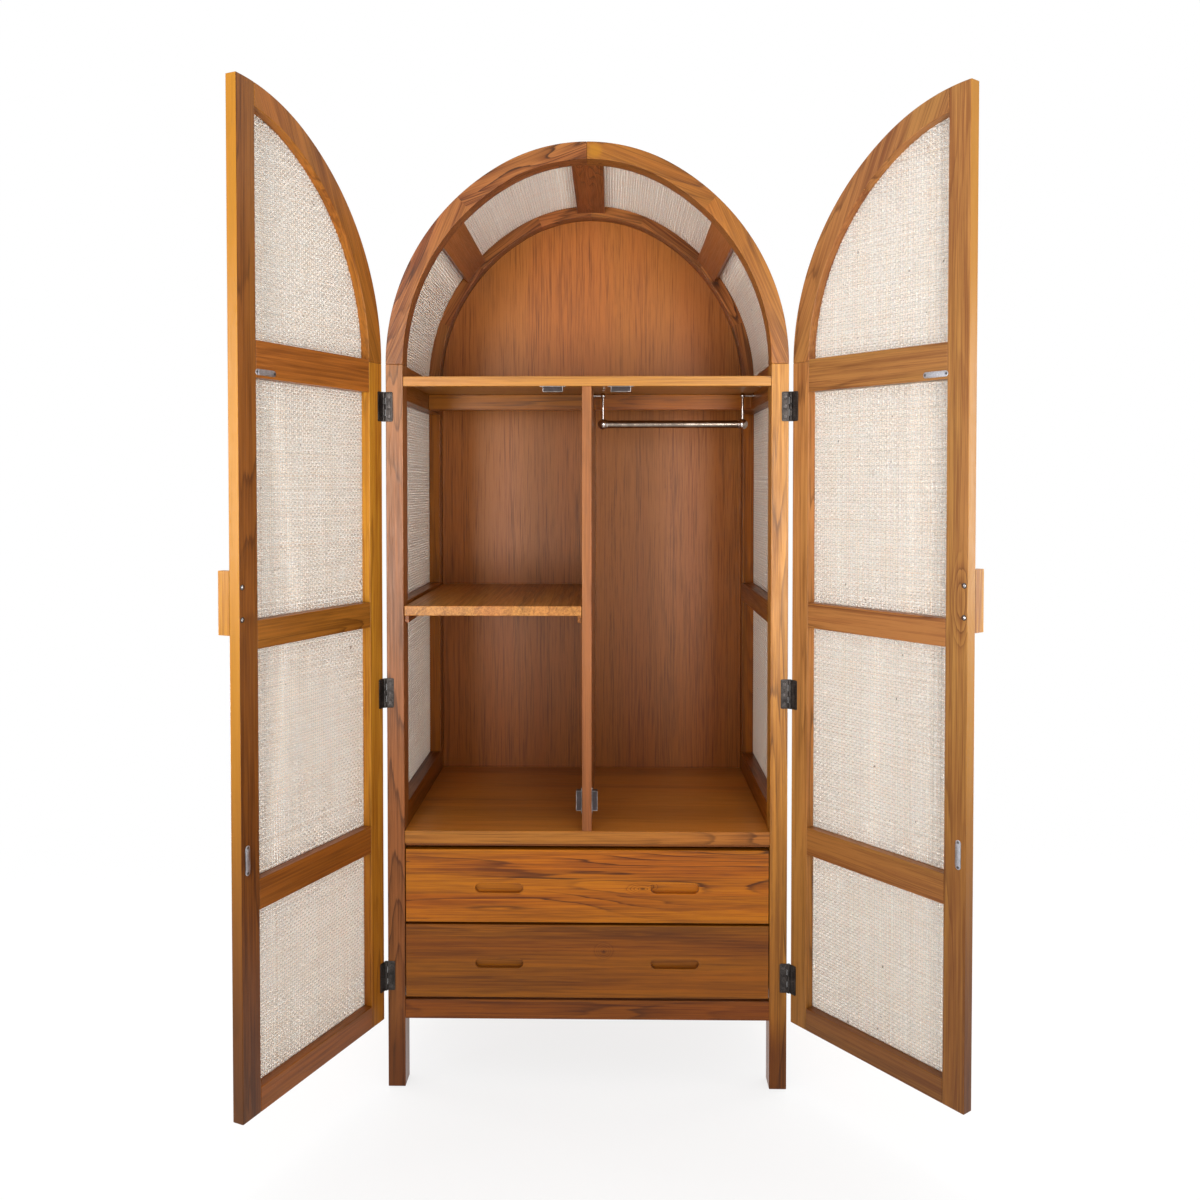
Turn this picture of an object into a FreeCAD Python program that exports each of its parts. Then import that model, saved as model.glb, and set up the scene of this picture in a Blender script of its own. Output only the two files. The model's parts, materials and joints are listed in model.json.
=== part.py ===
import FreeCAD, Part
import math
import os
from types import SimpleNamespace

import Sketcher

# Arched teak and cane wardrobe: a carcass on four legs under a cane vault, two arched
# doors, a fixed top shelf, a divider, a loose shelf, a hanging rail and two drawers on
# telescoping runners. Millimetres, +Z up, the front faces -Y, the origin is on the floor
# under the middle of the carcass. The doors are modelled shut and then swung open.

doc = FreeCAD.newDocument("ArchedWardrobe")

# Every size that can be set by itself, as a plain number in the sheet.
SIZES = {
    # carcass frame and arch
    "CarcassWidth": 900.0,
    "CarcassDepth": 570.0,
    "CarcassHeight": 2126.0,
    "PostWidth": 39.0,
    "PostDepth": 50.0,
    "ShoulderOverhang": 58.0,
    "CrownTightening": 118.0,
    "RibWidth": 74.0,
    "RibThickness": 28.0,
    "RibAngle": 40.0,
    "CaneInset": 8.0,
    "CaneThickness": 2.0,
    "BackThickness": 9.0,
    # rails of the side walls and of the foot of the carcass
    "FootGap": 156.0,
    "BottomRailWidth": 49.0,
    "DrawerRailLow": 548.0,
    "SideDrawerRailWidth": 88.0,
    "MiddleRailLow": 1050.0,
    "SideMiddleRailWidth": 49.0,
    "SideTopRailWidth": 78.0,
    "FootRailHeight": 44.0,
    "FootRailDepth": 22.0,
    # shelves and divider
    "TopShelfDrop": 27.0,
    "TopShelfThickness": 12.0,
    "LipHeight": 22.0,
    "LipDepth": 20.0,
    "HangBarSetback": 342.0,
    "HangBarDepth": 20.0,
    "DividerThickness": 22.0,
    "FloorShelfThickness": 29.0,
    "StripHeight": 7.0,
    "StripSetback": 6.0,
    "StripDepth": 20.0,
    "LooseShelfRise": 20.0,
    "LooseShelfThickness": 22.0,
    "LooseShelfGap": 1.0,
    "CleatWidth": 10.0,
    "CleatHeight": 17.0,
    "CleatSetback": 10.0,
    # doors
    "DoorThickness": 25.0,
    "MeetingGap": 1.0,
    "HingeStileWidth": 46.0,
    "MeetingStileWidth": 50.0,
    "DrawerRailWidth": 60.0,
    "MiddleRailWidth": 55.0,
    "TopRailDrop": 66.0,
    "TopRailWidth": 71.0,
    "DoorCaneInset": 3.0,
    "LeftDoorAngle": 113.7,
    "RightDoorAngle": 127.3,
    # hinges and their screws
    "PinRadius": 1.5,
    "PinClearance": 0.05,
    "BarrelRadius": 3.5,
    "BarrelGap": 0.5,
    "HingeHeight": 66.0,
    "LeafReach": 20.0,
    "LeafThickness": 1.8,
    "LeafGap": 0.4,
    "KnuckleGap": 0.3,
    "TopHingeDrop": 95.0,
    "MiddleHingeDrop": 154.0,
    "LowHingeRise": 98.0,
    "ScrewSpacing": 22.0,
    "ScrewHeadRadius": 3.4,
    "ScrewRadius": 1.6,
    "ScrewBite": 14.0,
    "ScrewClearance": 0.1,
    # door handles and their bolts
    "HandleHeight": 122.0,
    "HandleWidth": 15.0,
    "HandleProjection": 28.0,
    "HandleRise": 91.0,
    "HandleEdgeRadius": 2.0,
    "BoltSpacing": 61.0,
    "BoltRadius": 2.5,
    "BoltBite": 14.0,
    "BoltHeadRadius": 5.5,
    "BoltHeadHeight": 2.6,
    # magnetic catches and the plates they hold
    "CatchLength": 45.0,
    "CatchBaseLength": 57.0,
    "CatchDepth": 18.0,
    "CatchHeight": 13.0,
    "CatchWall": 1.4,
    "TopCatchMiddle": 76.0,
    "LowCatchRise": 70.0,
    "StrikeWidth": 12.0,
    "StrikeThickness": 1.5,
    "StrikeGap": 0.5,
    # hanging rail
    "RailRadius": 9.5,
    "RailWall": 1.2,
    "RailDrop": 78.0,
    "RailBarGap": 42.0,
    "DividerRodInset": 23.0,
    "SideRodInset": 28.0,
    "RodRadius": 3.2,
    "FinialRadius": 13.0,
    "HeadBallRadius": 6.5,
    "HangerGap": 0.5,
    "FlangeThickness": 2.5,
    "SocketClearance": 0.1,
    # drawers
    "DrawerGap": 2.0,
    "DrawerSpacing": 6.0,
    "DrawerFrontThickness": 20.0,
    "SlotLength": 108.0,
    "SlotHeight": 22.0,
    "SlotDepth": 12.0,
    "SlotMiddle": 198.0,
    "SlotDrop": 5.0,
    "DrawerSideThickness": 18.0,
    "DrawerSideDrop": 12.0,
    "DrawerSideLift": 15.0,
    "DrawerBackGap": 41.0,
    "DrawerBackDrop": 10.0,
    "DrawerBottomThickness": 6.0,
    "DrawerBottomLift": 10.0,
    # telescoping runners
    "SpacerThickness": 13.0,
    "SpacerMargin": 5.0,
    "SpacerGap": 6.0,
    "SpacerLap": 24.0,
    "RunnerWidth": 12.7,
    "RunnerHeight": 45.0,
    "RunnerBackGap": 85.0,
    "RunnerWall": 1.2,
    "RunnerPlay": 0.4,
    "RunnerDrop": 26.0,
}
KNUCKLES = 5
LEFT, RIGHT = -1, 1
SIDE_NAMES = {LEFT: "left", RIGHT: "right"}

sheet = doc.addObject("Spreadsheet::Sheet", "Sizes")
for row, (alias, value) in enumerate(SIZES.items(), start=1):
    sheet.set("A%d" % row, alias)
    sheet.set("B%d" % row, repr(value))
    sheet.setAlias("B%d" % row, alias)
doc.recompute()


class Size:
    """A length together with the sheet expression that it comes from."""

    def __init__(self, value, text):
        self.value = float(value)
        self.text = text

    def __float__(self):
        return self.value

    def __neg__(self):
        return Size(-self.value, "(-%s)" % self.text)

    def __add__(self, other):
        other = as_size(other)
        return Size(self.value + other.value, "(%s + %s)" % (self.text, other.text))

    def __sub__(self, other):
        other = as_size(other)
        return Size(self.value - other.value, "(%s - %s)" % (self.text, other.text))

    def __mul__(self, other):
        other = as_size(other)
        return Size(self.value * other.value, "(%s * %s)" % (self.text, other.text))

    def __truediv__(self, other):
        other = as_size(other)
        return Size(self.value / other.value, "(%s / %s)" % (self.text, other.text))

    __rmul__ = __mul__


def as_size(value):
    return value if isinstance(value, Size) else Size(float(value), repr(float(value)))


def root(size):
    return Size(math.sqrt(size.value), "sqrt(%s)" % size.text)


d = SimpleNamespace(**{a: Size(getattr(sheet, a), "Sizes." + a) for a in SIZES})
ZERO = as_size(0)

# Planes and lines that many pieces share.
FRONT = -d.CarcassDepth / 2
BACK = d.CarcassDepth / 2
HALF = d.CarcassWidth / 2
INNER = HALF - d.PostWidth
FRAME_FRONT = FRONT + d.PostDepth
FRAME_BACK = BACK - d.PostDepth
PANEL_FRONT = BACK - d.BackThickness
DIVIDER = d.DividerThickness / 2

# The arch is two shoulder arcs, whose centres lie past the middle, and a tighter crown
# arc, tangent where they meet, so the springing height follows from the radii.
SHOULDER_RADIUS = HALF + d.ShoulderOverhang
CROWN_RADIUS = SHOULDER_RADIUS - d.CrownTightening
CROWN_CENTRE = d.CarcassHeight - CROWN_RADIUS
CENTRE_RISE = d.CrownTightening * d.CrownTightening - d.ShoulderOverhang * d.ShoulderOverhang
SPRING = CROWN_CENTRE - root(CENTRE_RISE)
SPLIT = math.acos(float(d.ShoulderOverhang) / float(d.CrownTightening))

# Heights that follow the springing, the middle rails and the drawer rails.
SHELF_TOP = SPRING - d.TopShelfDrop
SHELF_UNDERSIDE = SHELF_TOP - d.TopShelfThickness
LIP_LOW = SHELF_TOP - d.LipHeight
SIDE_TOP_RAIL_LOW = SPRING - d.SideTopRailWidth
LOOSE_SHELF_LOW = d.MiddleRailLow + d.LooseShelfRise
HANDLE_MIDDLE = d.MiddleRailLow + d.HandleRise
FLOOR_LOW = d.DrawerRailLow + d.StripHeight
FLOOR_TOP = FLOOR_LOW + d.FloorShelfThickness
LOW_CATCH_HEIGHT = FLOOR_TOP + d.LowCatchRise

# The two hinge leaves lie between post and door, which sets the gap behind a shut door.
DOOR_GAP = d.LeafThickness * 2 + d.LeafGap
DOOR_IN = FRONT - DOOR_GAP
DOOR_OUT = DOOR_IN - d.DoorThickness
PIN_X = HALF + d.BarrelRadius + d.BarrelGap
PIN_Y = FRONT - DOOR_GAP / 2

nodes = []


def across(side, low, high):
    """A span along X given for the right half, mirrored for the left half."""
    return (low, high) if side == RIGHT else (-high, -low)


def bind(piece, **values):
    """Ties properties of a piece to the sheet."""
    for name, value in values.items():
        piece.setExpression(name, as_size(value).text)


def bind_base(piece, x, y, z):
    for letter, value in zip("xyz", (x, y, z)):
        piece.setExpression("Placement.Base." + letter, as_size(value).text)


def board(name, x, y, z):
    """A straight board given by its three spans."""
    piece = doc.addObject("Part::Box", name)
    lengths = [as_size(high) - low for low, high in (x, y, z)]
    bind(piece, Length=lengths[0], Width=lengths[1], Height=lengths[2])
    bind_base(piece, x[0], y[0], z[0])
    return piece


def aimed(piece, start, axis):
    """Turns a round piece from +Z to an axis and sets its start point."""
    turn = FreeCAD.Rotation(FreeCAD.Vector(0, 0, 1), FreeCAD.Vector(*axis))
    piece.Placement = FreeCAD.Placement(FreeCAD.Vector(), turn)
    bind_base(piece, *start)
    return piece


def rod(name, radius, length, start, axis):
    piece = doc.addObject("Part::Cylinder", name)
    bind(piece, Radius=radius, Height=length)
    return aimed(piece, start, axis)


def cone(name, radius, end_radius, length, start, axis):
    piece = doc.addObject("Part::Cone", name)
    bind(piece, Radius1=radius, Radius2=end_radius, Height=length)
    return aimed(piece, start, axis)


def ball(name, radius, centre):
    piece = doc.addObject("Part::Sphere", name)
    bind(piece, Radius=radius)
    bind_base(piece, *centre)
    return piece


def fused(name, pieces):
    joined = doc.addObject("Part::MultiFuse", name)
    joined.Shapes = pieces
    return joined


def without(name, base, tools):
    """A piece with one or more others taken out of it."""
    piece = doc.addObject("Part::Cut", name)
    piece.Base = base
    piece.Tool = tools[0] if len(tools) == 1 else fused(name + "_tools", tools)
    return piece


def shaped(name, shape):
    """A piece whose outline follows the arch."""
    piece = doc.addObject("Part::Feature", name)
    piece.Shape = shape
    piece.Placement = FreeCAD.Placement()
    return piece


def node(label, pieces, pose=None):
    """One named sub-part of one or more separate solids, set in its place."""
    part = doc.addObject("Part::Compound", label + "_set")
    part.Links = pieces
    part.Label = label
    part.Placement = pose or FreeCAD.Placement()
    nodes.append(part)


def arch_point(side, inset, turn):
    """A point of the outline, set in from the outside, at a turn up from the springing."""
    centre, height, radius = -d.ShoulderOverhang, SPRING, SHOULDER_RADIUS
    if turn > SPLIT:
        centre, height, radius = ZERO, CROWN_CENTRE, CROWN_RADIUS
    reach = float(radius) - float(inset)
    x = float(centre) + reach * math.cos(turn)
    return FreeCAD.Vector(side * x, 0, float(height) + reach * math.sin(turn))


def arch_arcs(side, inset):
    """The shoulder arc and the crown arc of one half of the outline."""
    turns = (0, SPLIT / 2, SPLIT, (SPLIT + math.pi / 2) / 2, math.pi / 2)
    points = [arch_point(side, inset, turn) for turn in turns]
    return [Part.Arc(*points[:3]).toShape(), Part.Arc(*points[2:]).toShape()]


def solid_from(edges, y):
    low, high = float(y[0]), float(y[1])
    face = Part.Face(Part.Wire(Part.sortEdges(edges)[0]))
    face.translate(FreeCAD.Vector(0, low, 0))
    return face.extrude(FreeCAD.Vector(0, high - low, 0))


def half_ring(side, outer, inner, y):
    """Half of an arched ring between two insets."""
    edges = arch_arcs(side, outer) + arch_arcs(side, inner)
    for turn in (0, math.pi / 2):
        ends = (arch_point(side, outer, turn), arch_point(side, inner, turn))
        edges.append(Part.LineSegment(*ends).toShape())
    return solid_from(edges, y)


def arched_slab(inset, bottom, y):
    """All that lies under the arch, set in from it, down to a straight bottom edge."""
    edges = arch_arcs(LEFT, inset) + arch_arcs(RIGHT, inset)
    springs = [arch_point(side, inset, 0) for side in (LEFT, RIGHT)]
    corners = [FreeCAD.Vector(spring.x, 0, float(bottom)) for spring in springs]
    for ends in ((springs[0], corners[0]), corners, (corners[1], springs[1])):
        edges.append(Part.LineSegment(*ends).toShape())
    return solid_from(edges, y)


def slab(x, y, z):
    """A plain block that trims arched shapes."""
    spans = [(float(low), float(high)) for low, high in (x, y, z)]
    corner = FreeCAD.Vector(*[low for low, high in spans])
    return Part.makeBox(*[high - low for low, high in spans], corner)


def rib_block(centre, height, radius, angle):
    """A block as wide as a rib, on a radius of one of the arch's arcs."""
    start = float(radius - d.RibThickness * 2)
    length = float(d.RibThickness * 3)
    corner = FreeCAD.Vector(start, float(FRAME_FRONT), -float(d.RibWidth) / 2)
    depth = float(FRAME_BACK - FRAME_FRONT)
    block = Part.makeBox(length, depth, float(d.RibWidth), corner)
    block.rotate(FreeCAD.Vector(), FreeCAD.Vector(0, 1, 0), -angle)
    block.translate(FreeCAD.Vector(float(centre), 0, float(height)))
    return block


# Hinge heights are shared by posts, leaves, pins, screws and doors.
HINGE_HEIGHTS = (
    d.FootGap + d.LowHingeRise,
    d.MiddleRailLow - d.MiddleHingeDrop,
    SPRING - d.TopHingeDrop,
)
LEAF_EDGE = PIN_X - d.LeafReach
SCREW_X = (LEAF_EDGE + HALF) / 2
POST_LEAF_TOP = FRONT - d.LeafThickness
DOOR_LEAF_TOP = DOOR_IN + d.LeafThickness


def screw_heights(hinge_height):
    return [hinge_height + d.ScrewSpacing * step for step in (-1, 0, 1)]


def pilot_holes(name, side, y, axis):
    """Holes in the wood for the nine screws of one door's leaves."""
    radius, length = d.ScrewRadius + d.ScrewClearance, d.ScrewBite + d.ScrewClearance
    heights = [z for hinge in HINGE_HEIGHTS for z in screw_heights(hinge)]
    x = SCREW_X * side
    return [rod("%s_hole_%d" % (name, i), radius, length, (x, y, z), axis)
            for i, z in enumerate(heights, start=1)]


def screws(name, side, top, axis):
    """Nine countersunk screws, their heads flush with the leaves."""
    pieces = []
    heights = [z for hinge in HINGE_HEIGHTS for z in screw_heights(hinge)]
    length = d.LeafThickness + d.ScrewBite
    for number, z in enumerate(heights, start=1):
        label = "%s_%d" % (name, number)
        start = (SCREW_X * side, top, z)
        head = cone(label + "_head", d.ScrewHeadRadius, d.ScrewRadius, d.LeafThickness, start, axis)
        shank = rod(label + "_shank", d.ScrewRadius, length, start, axis)
        pieces.append(fused(label, [head, shank]))
    return pieces


def hinge_leaf(name, side, height, y, top, axis, own):
    """A hinge leaf: a plate cut back beside the other leaf's knuckles, its own knuckles
    on their tongues, a bore for the pin and three countersunk holes."""
    low = height - d.HingeHeight / 2
    pitch = (d.HingeHeight + d.KnuckleGap) / KNUCKLES
    relief = PIN_X - d.BarrelRadius - d.KnuckleGap
    plate = board(name + "_plate", across(side, LEAF_EDGE, relief), y, (low, low + d.HingeHeight))
    pieces = [plate]
    for number in own:
        start = low + pitch * number
        stop = start + pitch - d.KnuckleGap
        label = "%s_knuckle_%d" % (name, number)
        pieces.append(board(label + "_tongue", across(side, LEAF_EDGE, PIN_X), y, (start, stop)))
        place = (PIN_X * side, PIN_Y, start)
        pieces.append(rod(label, d.BarrelRadius, stop - start, place, (0, 0, 1)))
    bore_radius = d.PinRadius + d.PinClearance
    tools = [rod(name + "_bore", bore_radius, d.HingeHeight, (PIN_X * side, PIN_Y, low), (0, 0, 1))]
    wide, narrow = d.ScrewHeadRadius + d.ScrewClearance, d.ScrewRadius + d.ScrewClearance
    for number, z in enumerate(screw_heights(height), start=1):
        start = (SCREW_X * side, top, z)
        label = "%s_countersink_%d" % (name, number)
        tools.append(cone(label, wide, narrow, d.LeafThickness, start, axis))
    return without(name, fused(name + "_body", pieces), tools)


# Carcass posts: the front pair carries the doors, so each has nine pilot holes.
for side, side_name in SIDE_NAMES.items():
    x = across(side, INNER, HALF)
    label = side_name + "_front_post"
    blank = board(label + "_blank", x, (FRONT, FRAME_FRONT), (ZERO, SPRING))
    holes = pilot_holes(label, side, FRONT, (0, 1, 0))
    node(label, [without(label + "_drilled", blank, holes)])
    label = side_name + "_back_post"
    node(label, [board(label + "_board", x, (FRAME_BACK, BACK), (ZERO, SPRING))])

# Arched rings on the posts, each in two halves mitred at the crown.
back_halves = []
for side, side_name in SIDE_NAMES.items():
    ring = half_ring(side, ZERO, d.PostWidth, (FRONT, FRAME_FRONT))
    node("front_arch_" + side_name, [shaped("front_ring_" + side_name, ring)])
    ring = half_ring(side, ZERO, d.PostWidth, (FRAME_BACK, BACK))
    back_halves.append(shaped("back_ring_" + side_name, ring))
node("back_arch", back_halves)

# Three broad ribs join the rings, and the cane of the vault fills the bays between them.
vault_depth = (FRAME_FRONT, FRAME_BACK)
crown_block = rib_block(ZERO, CROWN_CENTRE, CROWN_RADIUS, 90)
rib_halves = [half_ring(side, ZERO, d.RibThickness, vault_depth) for side in SIDE_NAMES]
crown_rib = rib_halves[0].fuse(rib_halves[1]).common(crown_block).removeSplitter()
ribs = [shaped("crown_rib", crown_rib)]
vault_canes = []
for side, side_name in SIDE_NAMES.items():
    rib_turn = SIZES["RibAngle"] if side == RIGHT else 180 - SIZES["RibAngle"]
    side_block = rib_block(-d.ShoulderOverhang * side, SPRING, SHOULDER_RADIUS, rib_turn)
    rib = half_ring(side, ZERO, d.RibThickness, vault_depth).common(side_block)
    ribs.append(shaped(side_name + "_rib", rib))
    cane = half_ring(side, d.CaneInset, d.CaneInset + d.CaneThickness, vault_depth)
    bays = cane.cut(side_block).cut(crown_block).Solids
    for number, bay in enumerate(bays, start=1):
        vault_canes.append(shaped("%s_vault_cane_%d" % (side_name, number), bay))
node("arch_ribs", ribs)
node("arch_cane", vault_canes)

# Side walls: four rails a side between the posts, with flat cane between the rails.
SIDE_RAILS = (
    (d.FootGap, d.FootGap + d.BottomRailWidth),
    (d.DrawerRailLow, d.DrawerRailLow + d.SideDrawerRailWidth),
    (d.MiddleRailLow, d.MiddleRailLow + d.SideMiddleRailWidth),
    (SIDE_TOP_RAIL_LOW, SPRING),
)
side_canes = []
for side, side_name in SIDE_NAMES.items():
    rails = [board("%s_side_rail_%d" % (side_name, i), across(side, INNER, HALF), vault_depth, z)
             for i, z in enumerate(SIDE_RAILS, start=1)]
    node(side_name + "_side_rails", rails)
    cane_face = HALF - d.CaneInset
    cane_x = across(side, cane_face - d.CaneThickness, cane_face)
    for number, (below, above) in enumerate(zip(SIDE_RAILS, SIDE_RAILS[1:]), start=1):
        label = "%s_side_cane_%d" % (side_name, number)
        side_canes.append(board(label, cane_x, vault_depth, (below[1], above[0])))
node("side_cane", side_canes)

# Back panel between the back posts and the back ring, and the rails at the foot.
inside = across(RIGHT, -INNER, INNER)
node("back_panel", [shaped("back_board", arched_slab(d.PostWidth, d.FootGap, (PANEL_FRONT, BACK)))])
front_z = (d.FootGap, d.FootGap + d.FootRailHeight)
back_z = (d.FootGap, d.FootGap + d.BottomRailWidth)
front_rail = board("front_foot_rail", inside, (FRONT, FRONT + d.FootRailDepth), front_z)
back_rail = board("back_foot_rail", inside, (PANEL_FRONT - d.FootRailDepth, PANEL_FRONT), back_z)
node("bottom_rails", [front_rail, back_rail])

# Top shelf: a thin board behind a deeper front lip, with a bar under it on each side.
shelf_y = (FRONT + d.LipDepth, PANEL_FRONT)
shelf_board = board("top_shelf_board", inside, shelf_y, (SHELF_UNDERSIDE, SHELF_TOP))
lip = board("top_shelf_lip", inside, (FRONT, FRONT + d.LipDepth), (LIP_LOW, SHELF_TOP))
node("top_shelf", [shelf_board, lip])
bar_front = FRONT + d.HangBarSetback
bar_y = (bar_front, bar_front + d.HangBarDepth)
bar_z = (SIDE_TOP_RAIL_LOW, SHELF_UNDERSIDE)
bars = [board("%s_shelf_bar" % side_name, across(side, DIVIDER, INNER), bar_y, bar_z)
        for side, side_name in SIDE_NAMES.items()]
node("top_shelf_bar", bars)

# Floor shelf over the drawers, a strip under its front edge, and the divider on it.
full_y = (FRONT, PANEL_FRONT)
node("floor_shelf", [board("floor_board", inside, full_y, (FLOOR_LOW, FLOOR_TOP))])
strip_front = FRONT + d.StripSetback
strip_y = (strip_front, strip_front + d.StripDepth)
node("drawer_strip", [board("strip_board", inside, strip_y, (d.DrawerRailLow, FLOOR_LOW))])
divider_x = across(RIGHT, -DIVIDER, DIVIDER)
divider_z = (FLOOR_TOP, SHELF_UNDERSIDE)
divider = without("divider_notched", board("divider_board", divider_x, full_y, divider_z), [lip])
node("divider", [divider])

# The loose shelf on the left lies on two cleats and can be drawn out.
shelf_x = across(LEFT, DIVIDER + d.LooseShelfGap, INNER - d.LooseShelfGap)
shelf_y = (FRONT, PANEL_FRONT - d.LooseShelfGap)
shelf_z = (LOOSE_SHELF_LOW, LOOSE_SHELF_LOW + d.LooseShelfThickness)
node("mid_shelf", [board("mid_shelf_board", shelf_x, shelf_y, shelf_z)])
cleat_y = (FRONT + d.CleatSetback, PANEL_FRONT - d.CleatSetback)
cleat_z = (LOOSE_SHELF_LOW - d.CleatHeight, LOOSE_SHELF_LOW)
cleat_spans = ((DIVIDER, DIVIDER + d.CleatWidth), (INNER - d.CleatWidth, INNER))
cleats = [board("cleat_%d" % i, across(LEFT, *span), cleat_y, cleat_z)
          for i, span in enumerate(cleat_spans, start=1)]
node("shelf_cleats", cleats)

# Hinge leaves and screws on the posts, and the pins that both leaves turn on.
post_leaves, pins, post_screws = [], [], []
for side, side_name in SIDE_NAMES.items():
    for number, height in enumerate(HINGE_HEIGHTS, start=1):
        label = "%s_post_leaf_%d" % (side_name, number)
        own = range(0, KNUCKLES, 2)
        leaf_y = (POST_LEAF_TOP, FRONT)
        leaf = hinge_leaf(label, side, height, leaf_y, POST_LEAF_TOP, (0, 1, 0), own)
        post_leaves.append(leaf)
        place = (PIN_X * side, PIN_Y, height - d.HingeHeight / 2)
        label = "%s_pin_%d" % (side_name, number)
        pins.append(rod(label, d.PinRadius, d.HingeHeight, place, (0, 0, 1)))
    post_screws += screws(side_name + "_post_screw", side, POST_LEAF_TOP, (0, 1, 0))
node("post_hinge_leaves", post_leaves)
node("hinge_pins", pins)
node("post_leaf_screws", post_screws)


def origin_sketch(body, name, role):
    """A sketch on one of a body's own origin planes."""
    plane = [item for item in body.Origin.OriginFeatures if item.Role == role][0]
    sketch = body.newObject("Sketcher::SketchObject", name)
    sketch.AttachmentSupport = [(plane, "")]
    sketch.MapMode = "FlatFace"
    return sketch


def distance(sketch, kind, name, ends, value):
    """A driving distance between two sketch points, tied to the sheet."""
    index = sketch.addConstraint(Sketcher.Constraint(kind, *ends, float(value)))
    sketch.renameConstraint(index, name)
    sketch.setExpression("Constraints." + name, as_size(value).text)


def add_rectangle(sketch, width, height):
    """A rectangle centred on the sketch's upright axis, standing on its level axis."""
    half = float(width) / 2
    corners = [(-half, 0), (half, 0), (half, float(height)), (-half, float(height))]
    points = [FreeCAD.Vector(x, y, 0) for x, y in corners]
    for start, stop in zip(points, points[1:] + points[:1]):
        sketch.addGeometry(Part.LineSegment(start, stop))
    for line in range(4):
        sketch.addConstraint(Sketcher.Constraint("Coincident", line, 2, (line + 1) % 4, 1))
    for line, kind in enumerate(("Horizontal", "Vertical", "Horizontal", "Vertical")):
        sketch.addConstraint(Sketcher.Constraint(kind, line))
    sketch.addConstraint(Sketcher.Constraint("PointOnObject", 0, 1, -1))
    distance(sketch, "DistanceX", "half_width", (-1, 1, 0, 2), width / 2)
    distance(sketch, "DistanceX", "width", (0, 1, 0, 2), width)
    distance(sketch, "DistanceY", "height", (1, 1, 1, 2), height)


def add_stadium(sketch, name, side, middle, height):
    """A finger slot with round ends, its middle to one side of the upright axis."""
    radius, reach = d.SlotHeight / 2, (d.SlotLength - d.SlotHeight) / 2
    r, y = float(radius), float(height)
    near, far = middle - reach, middle + reach
    centres = sorted(side * float(value) for value in (near, far))
    first, last = [FreeCAD.Vector(x, y, 0) for x in centres]
    up, out = FreeCAD.Vector(0, r, 0), FreeCAD.Vector(r, 0, 0)
    line_top = sketch.addGeometry(Part.LineSegment(first + up, last + up))
    line_low = sketch.addGeometry(Part.LineSegment(last - up, first - up))
    arc_right = sketch.addGeometry(Part.Arc(last - up, last + out, last + up))
    arc_left = sketch.addGeometry(Part.Arc(first + up, first - out, first - up))
    joins = ((line_top, 2, arc_right, 2), (line_low, 1, arc_right, 1),
             (line_low, 2, arc_left, 2), (line_top, 1, arc_left, 1))
    for ends in joins:
        sketch.addConstraint(Sketcher.Constraint("Tangent", *ends))
    sketch.addConstraint(Sketcher.Constraint("Equal", arc_left, arc_right))
    radius_index = sketch.addConstraint(Sketcher.Constraint("Radius", arc_left, r))
    sketch.renameConstraint(radius_index, name + "_radius")
    sketch.setExpression("Constraints.%s_radius" % name, radius.text)
    arcs = (arc_left, arc_right) if side == RIGHT else (arc_right, arc_left)
    for arc, end, value in zip(arcs, ("near", "far"), (near, far)):
        ends = (-1, 1, arc, 3) if side == RIGHT else (arc, 3, -1, 1)
        distance(sketch, "DistanceX", "%s_%s" % (name, end), ends, value)
        distance(sketch, "DistanceY", "%s_%s_up" % (name, end), (-1, 1, arc, 3), height)


def handle_block(name, side):
    """A block handle, padded upwards, with its outer edges rounded."""
    body = doc.addObject("PartDesign::Body", name)
    sketch = origin_sketch(body, name + "_section", "XY_Plane")
    add_rectangle(sketch, d.HandleWidth, d.HandleProjection)
    pad = body.newObject("PartDesign::Pad", name + "_pad")
    pad.Profile = sketch
    bind(pad, Length=d.HandleHeight)
    doc.recompute()
    low_edge = pad.Shape.BoundBox.YMin
    outer = [i for i, edge in enumerate(pad.Shape.Edges, start=1)
             if edge.BoundBox.YMax - low_edge < float(d.HandleEdgeRadius)]
    rounding = body.newObject("PartDesign::Fillet", name + "_rounding")
    rounding.Base = (pad, ["Edge%d" % i for i in outer])
    bind(rounding, Radius=d.HandleEdgeRadius)
    middle = (d.MeetingGap + d.HandleWidth / 2) * side
    bottom = HANDLE_MIDDLE - d.HandleHeight / 2
    bind_base(body, middle, DOOR_OUT - d.HandleProjection, bottom)
    return body


def dome(name, radius, height, centre, axis):
    """A low domed head: the cap of a sphere, flat side at its start."""
    ball_radius = (radius * radius + height * height) / (height * 2)
    piece = doc.addObject("Part::Sphere", name)
    bind(piece, Radius=ball_radius)
    sink = ball_radius - height
    piece.setExpression("Angle1", "asin(%s / %s)" % (sink.text, ball_radius.text))
    x, y, z = centre
    return aimed(piece, (x, y - sink, z), axis)


def strike_plate(name, side, upright):
    """A flat steel plate on the inner face of the door, facing its catch."""
    half, half_width = d.CatchBaseLength / 2, d.StrikeWidth / 2
    y = (DOOR_IN, DOOR_IN + d.StrikeThickness)
    if upright:
        middle = DIVIDER + d.CatchHeight / 2
        z = (LOW_CATCH_HEIGHT - half, LOW_CATCH_HEIGHT + half)
        return board(name, across(side, middle - half_width, middle + half_width), y, z)
    middle = LIP_LOW - d.CatchHeight / 2
    x = across(side, d.TopCatchMiddle - half, d.TopCatchMiddle + half)
    return board(name, x, y, (middle - half_width, middle + half_width))


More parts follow.
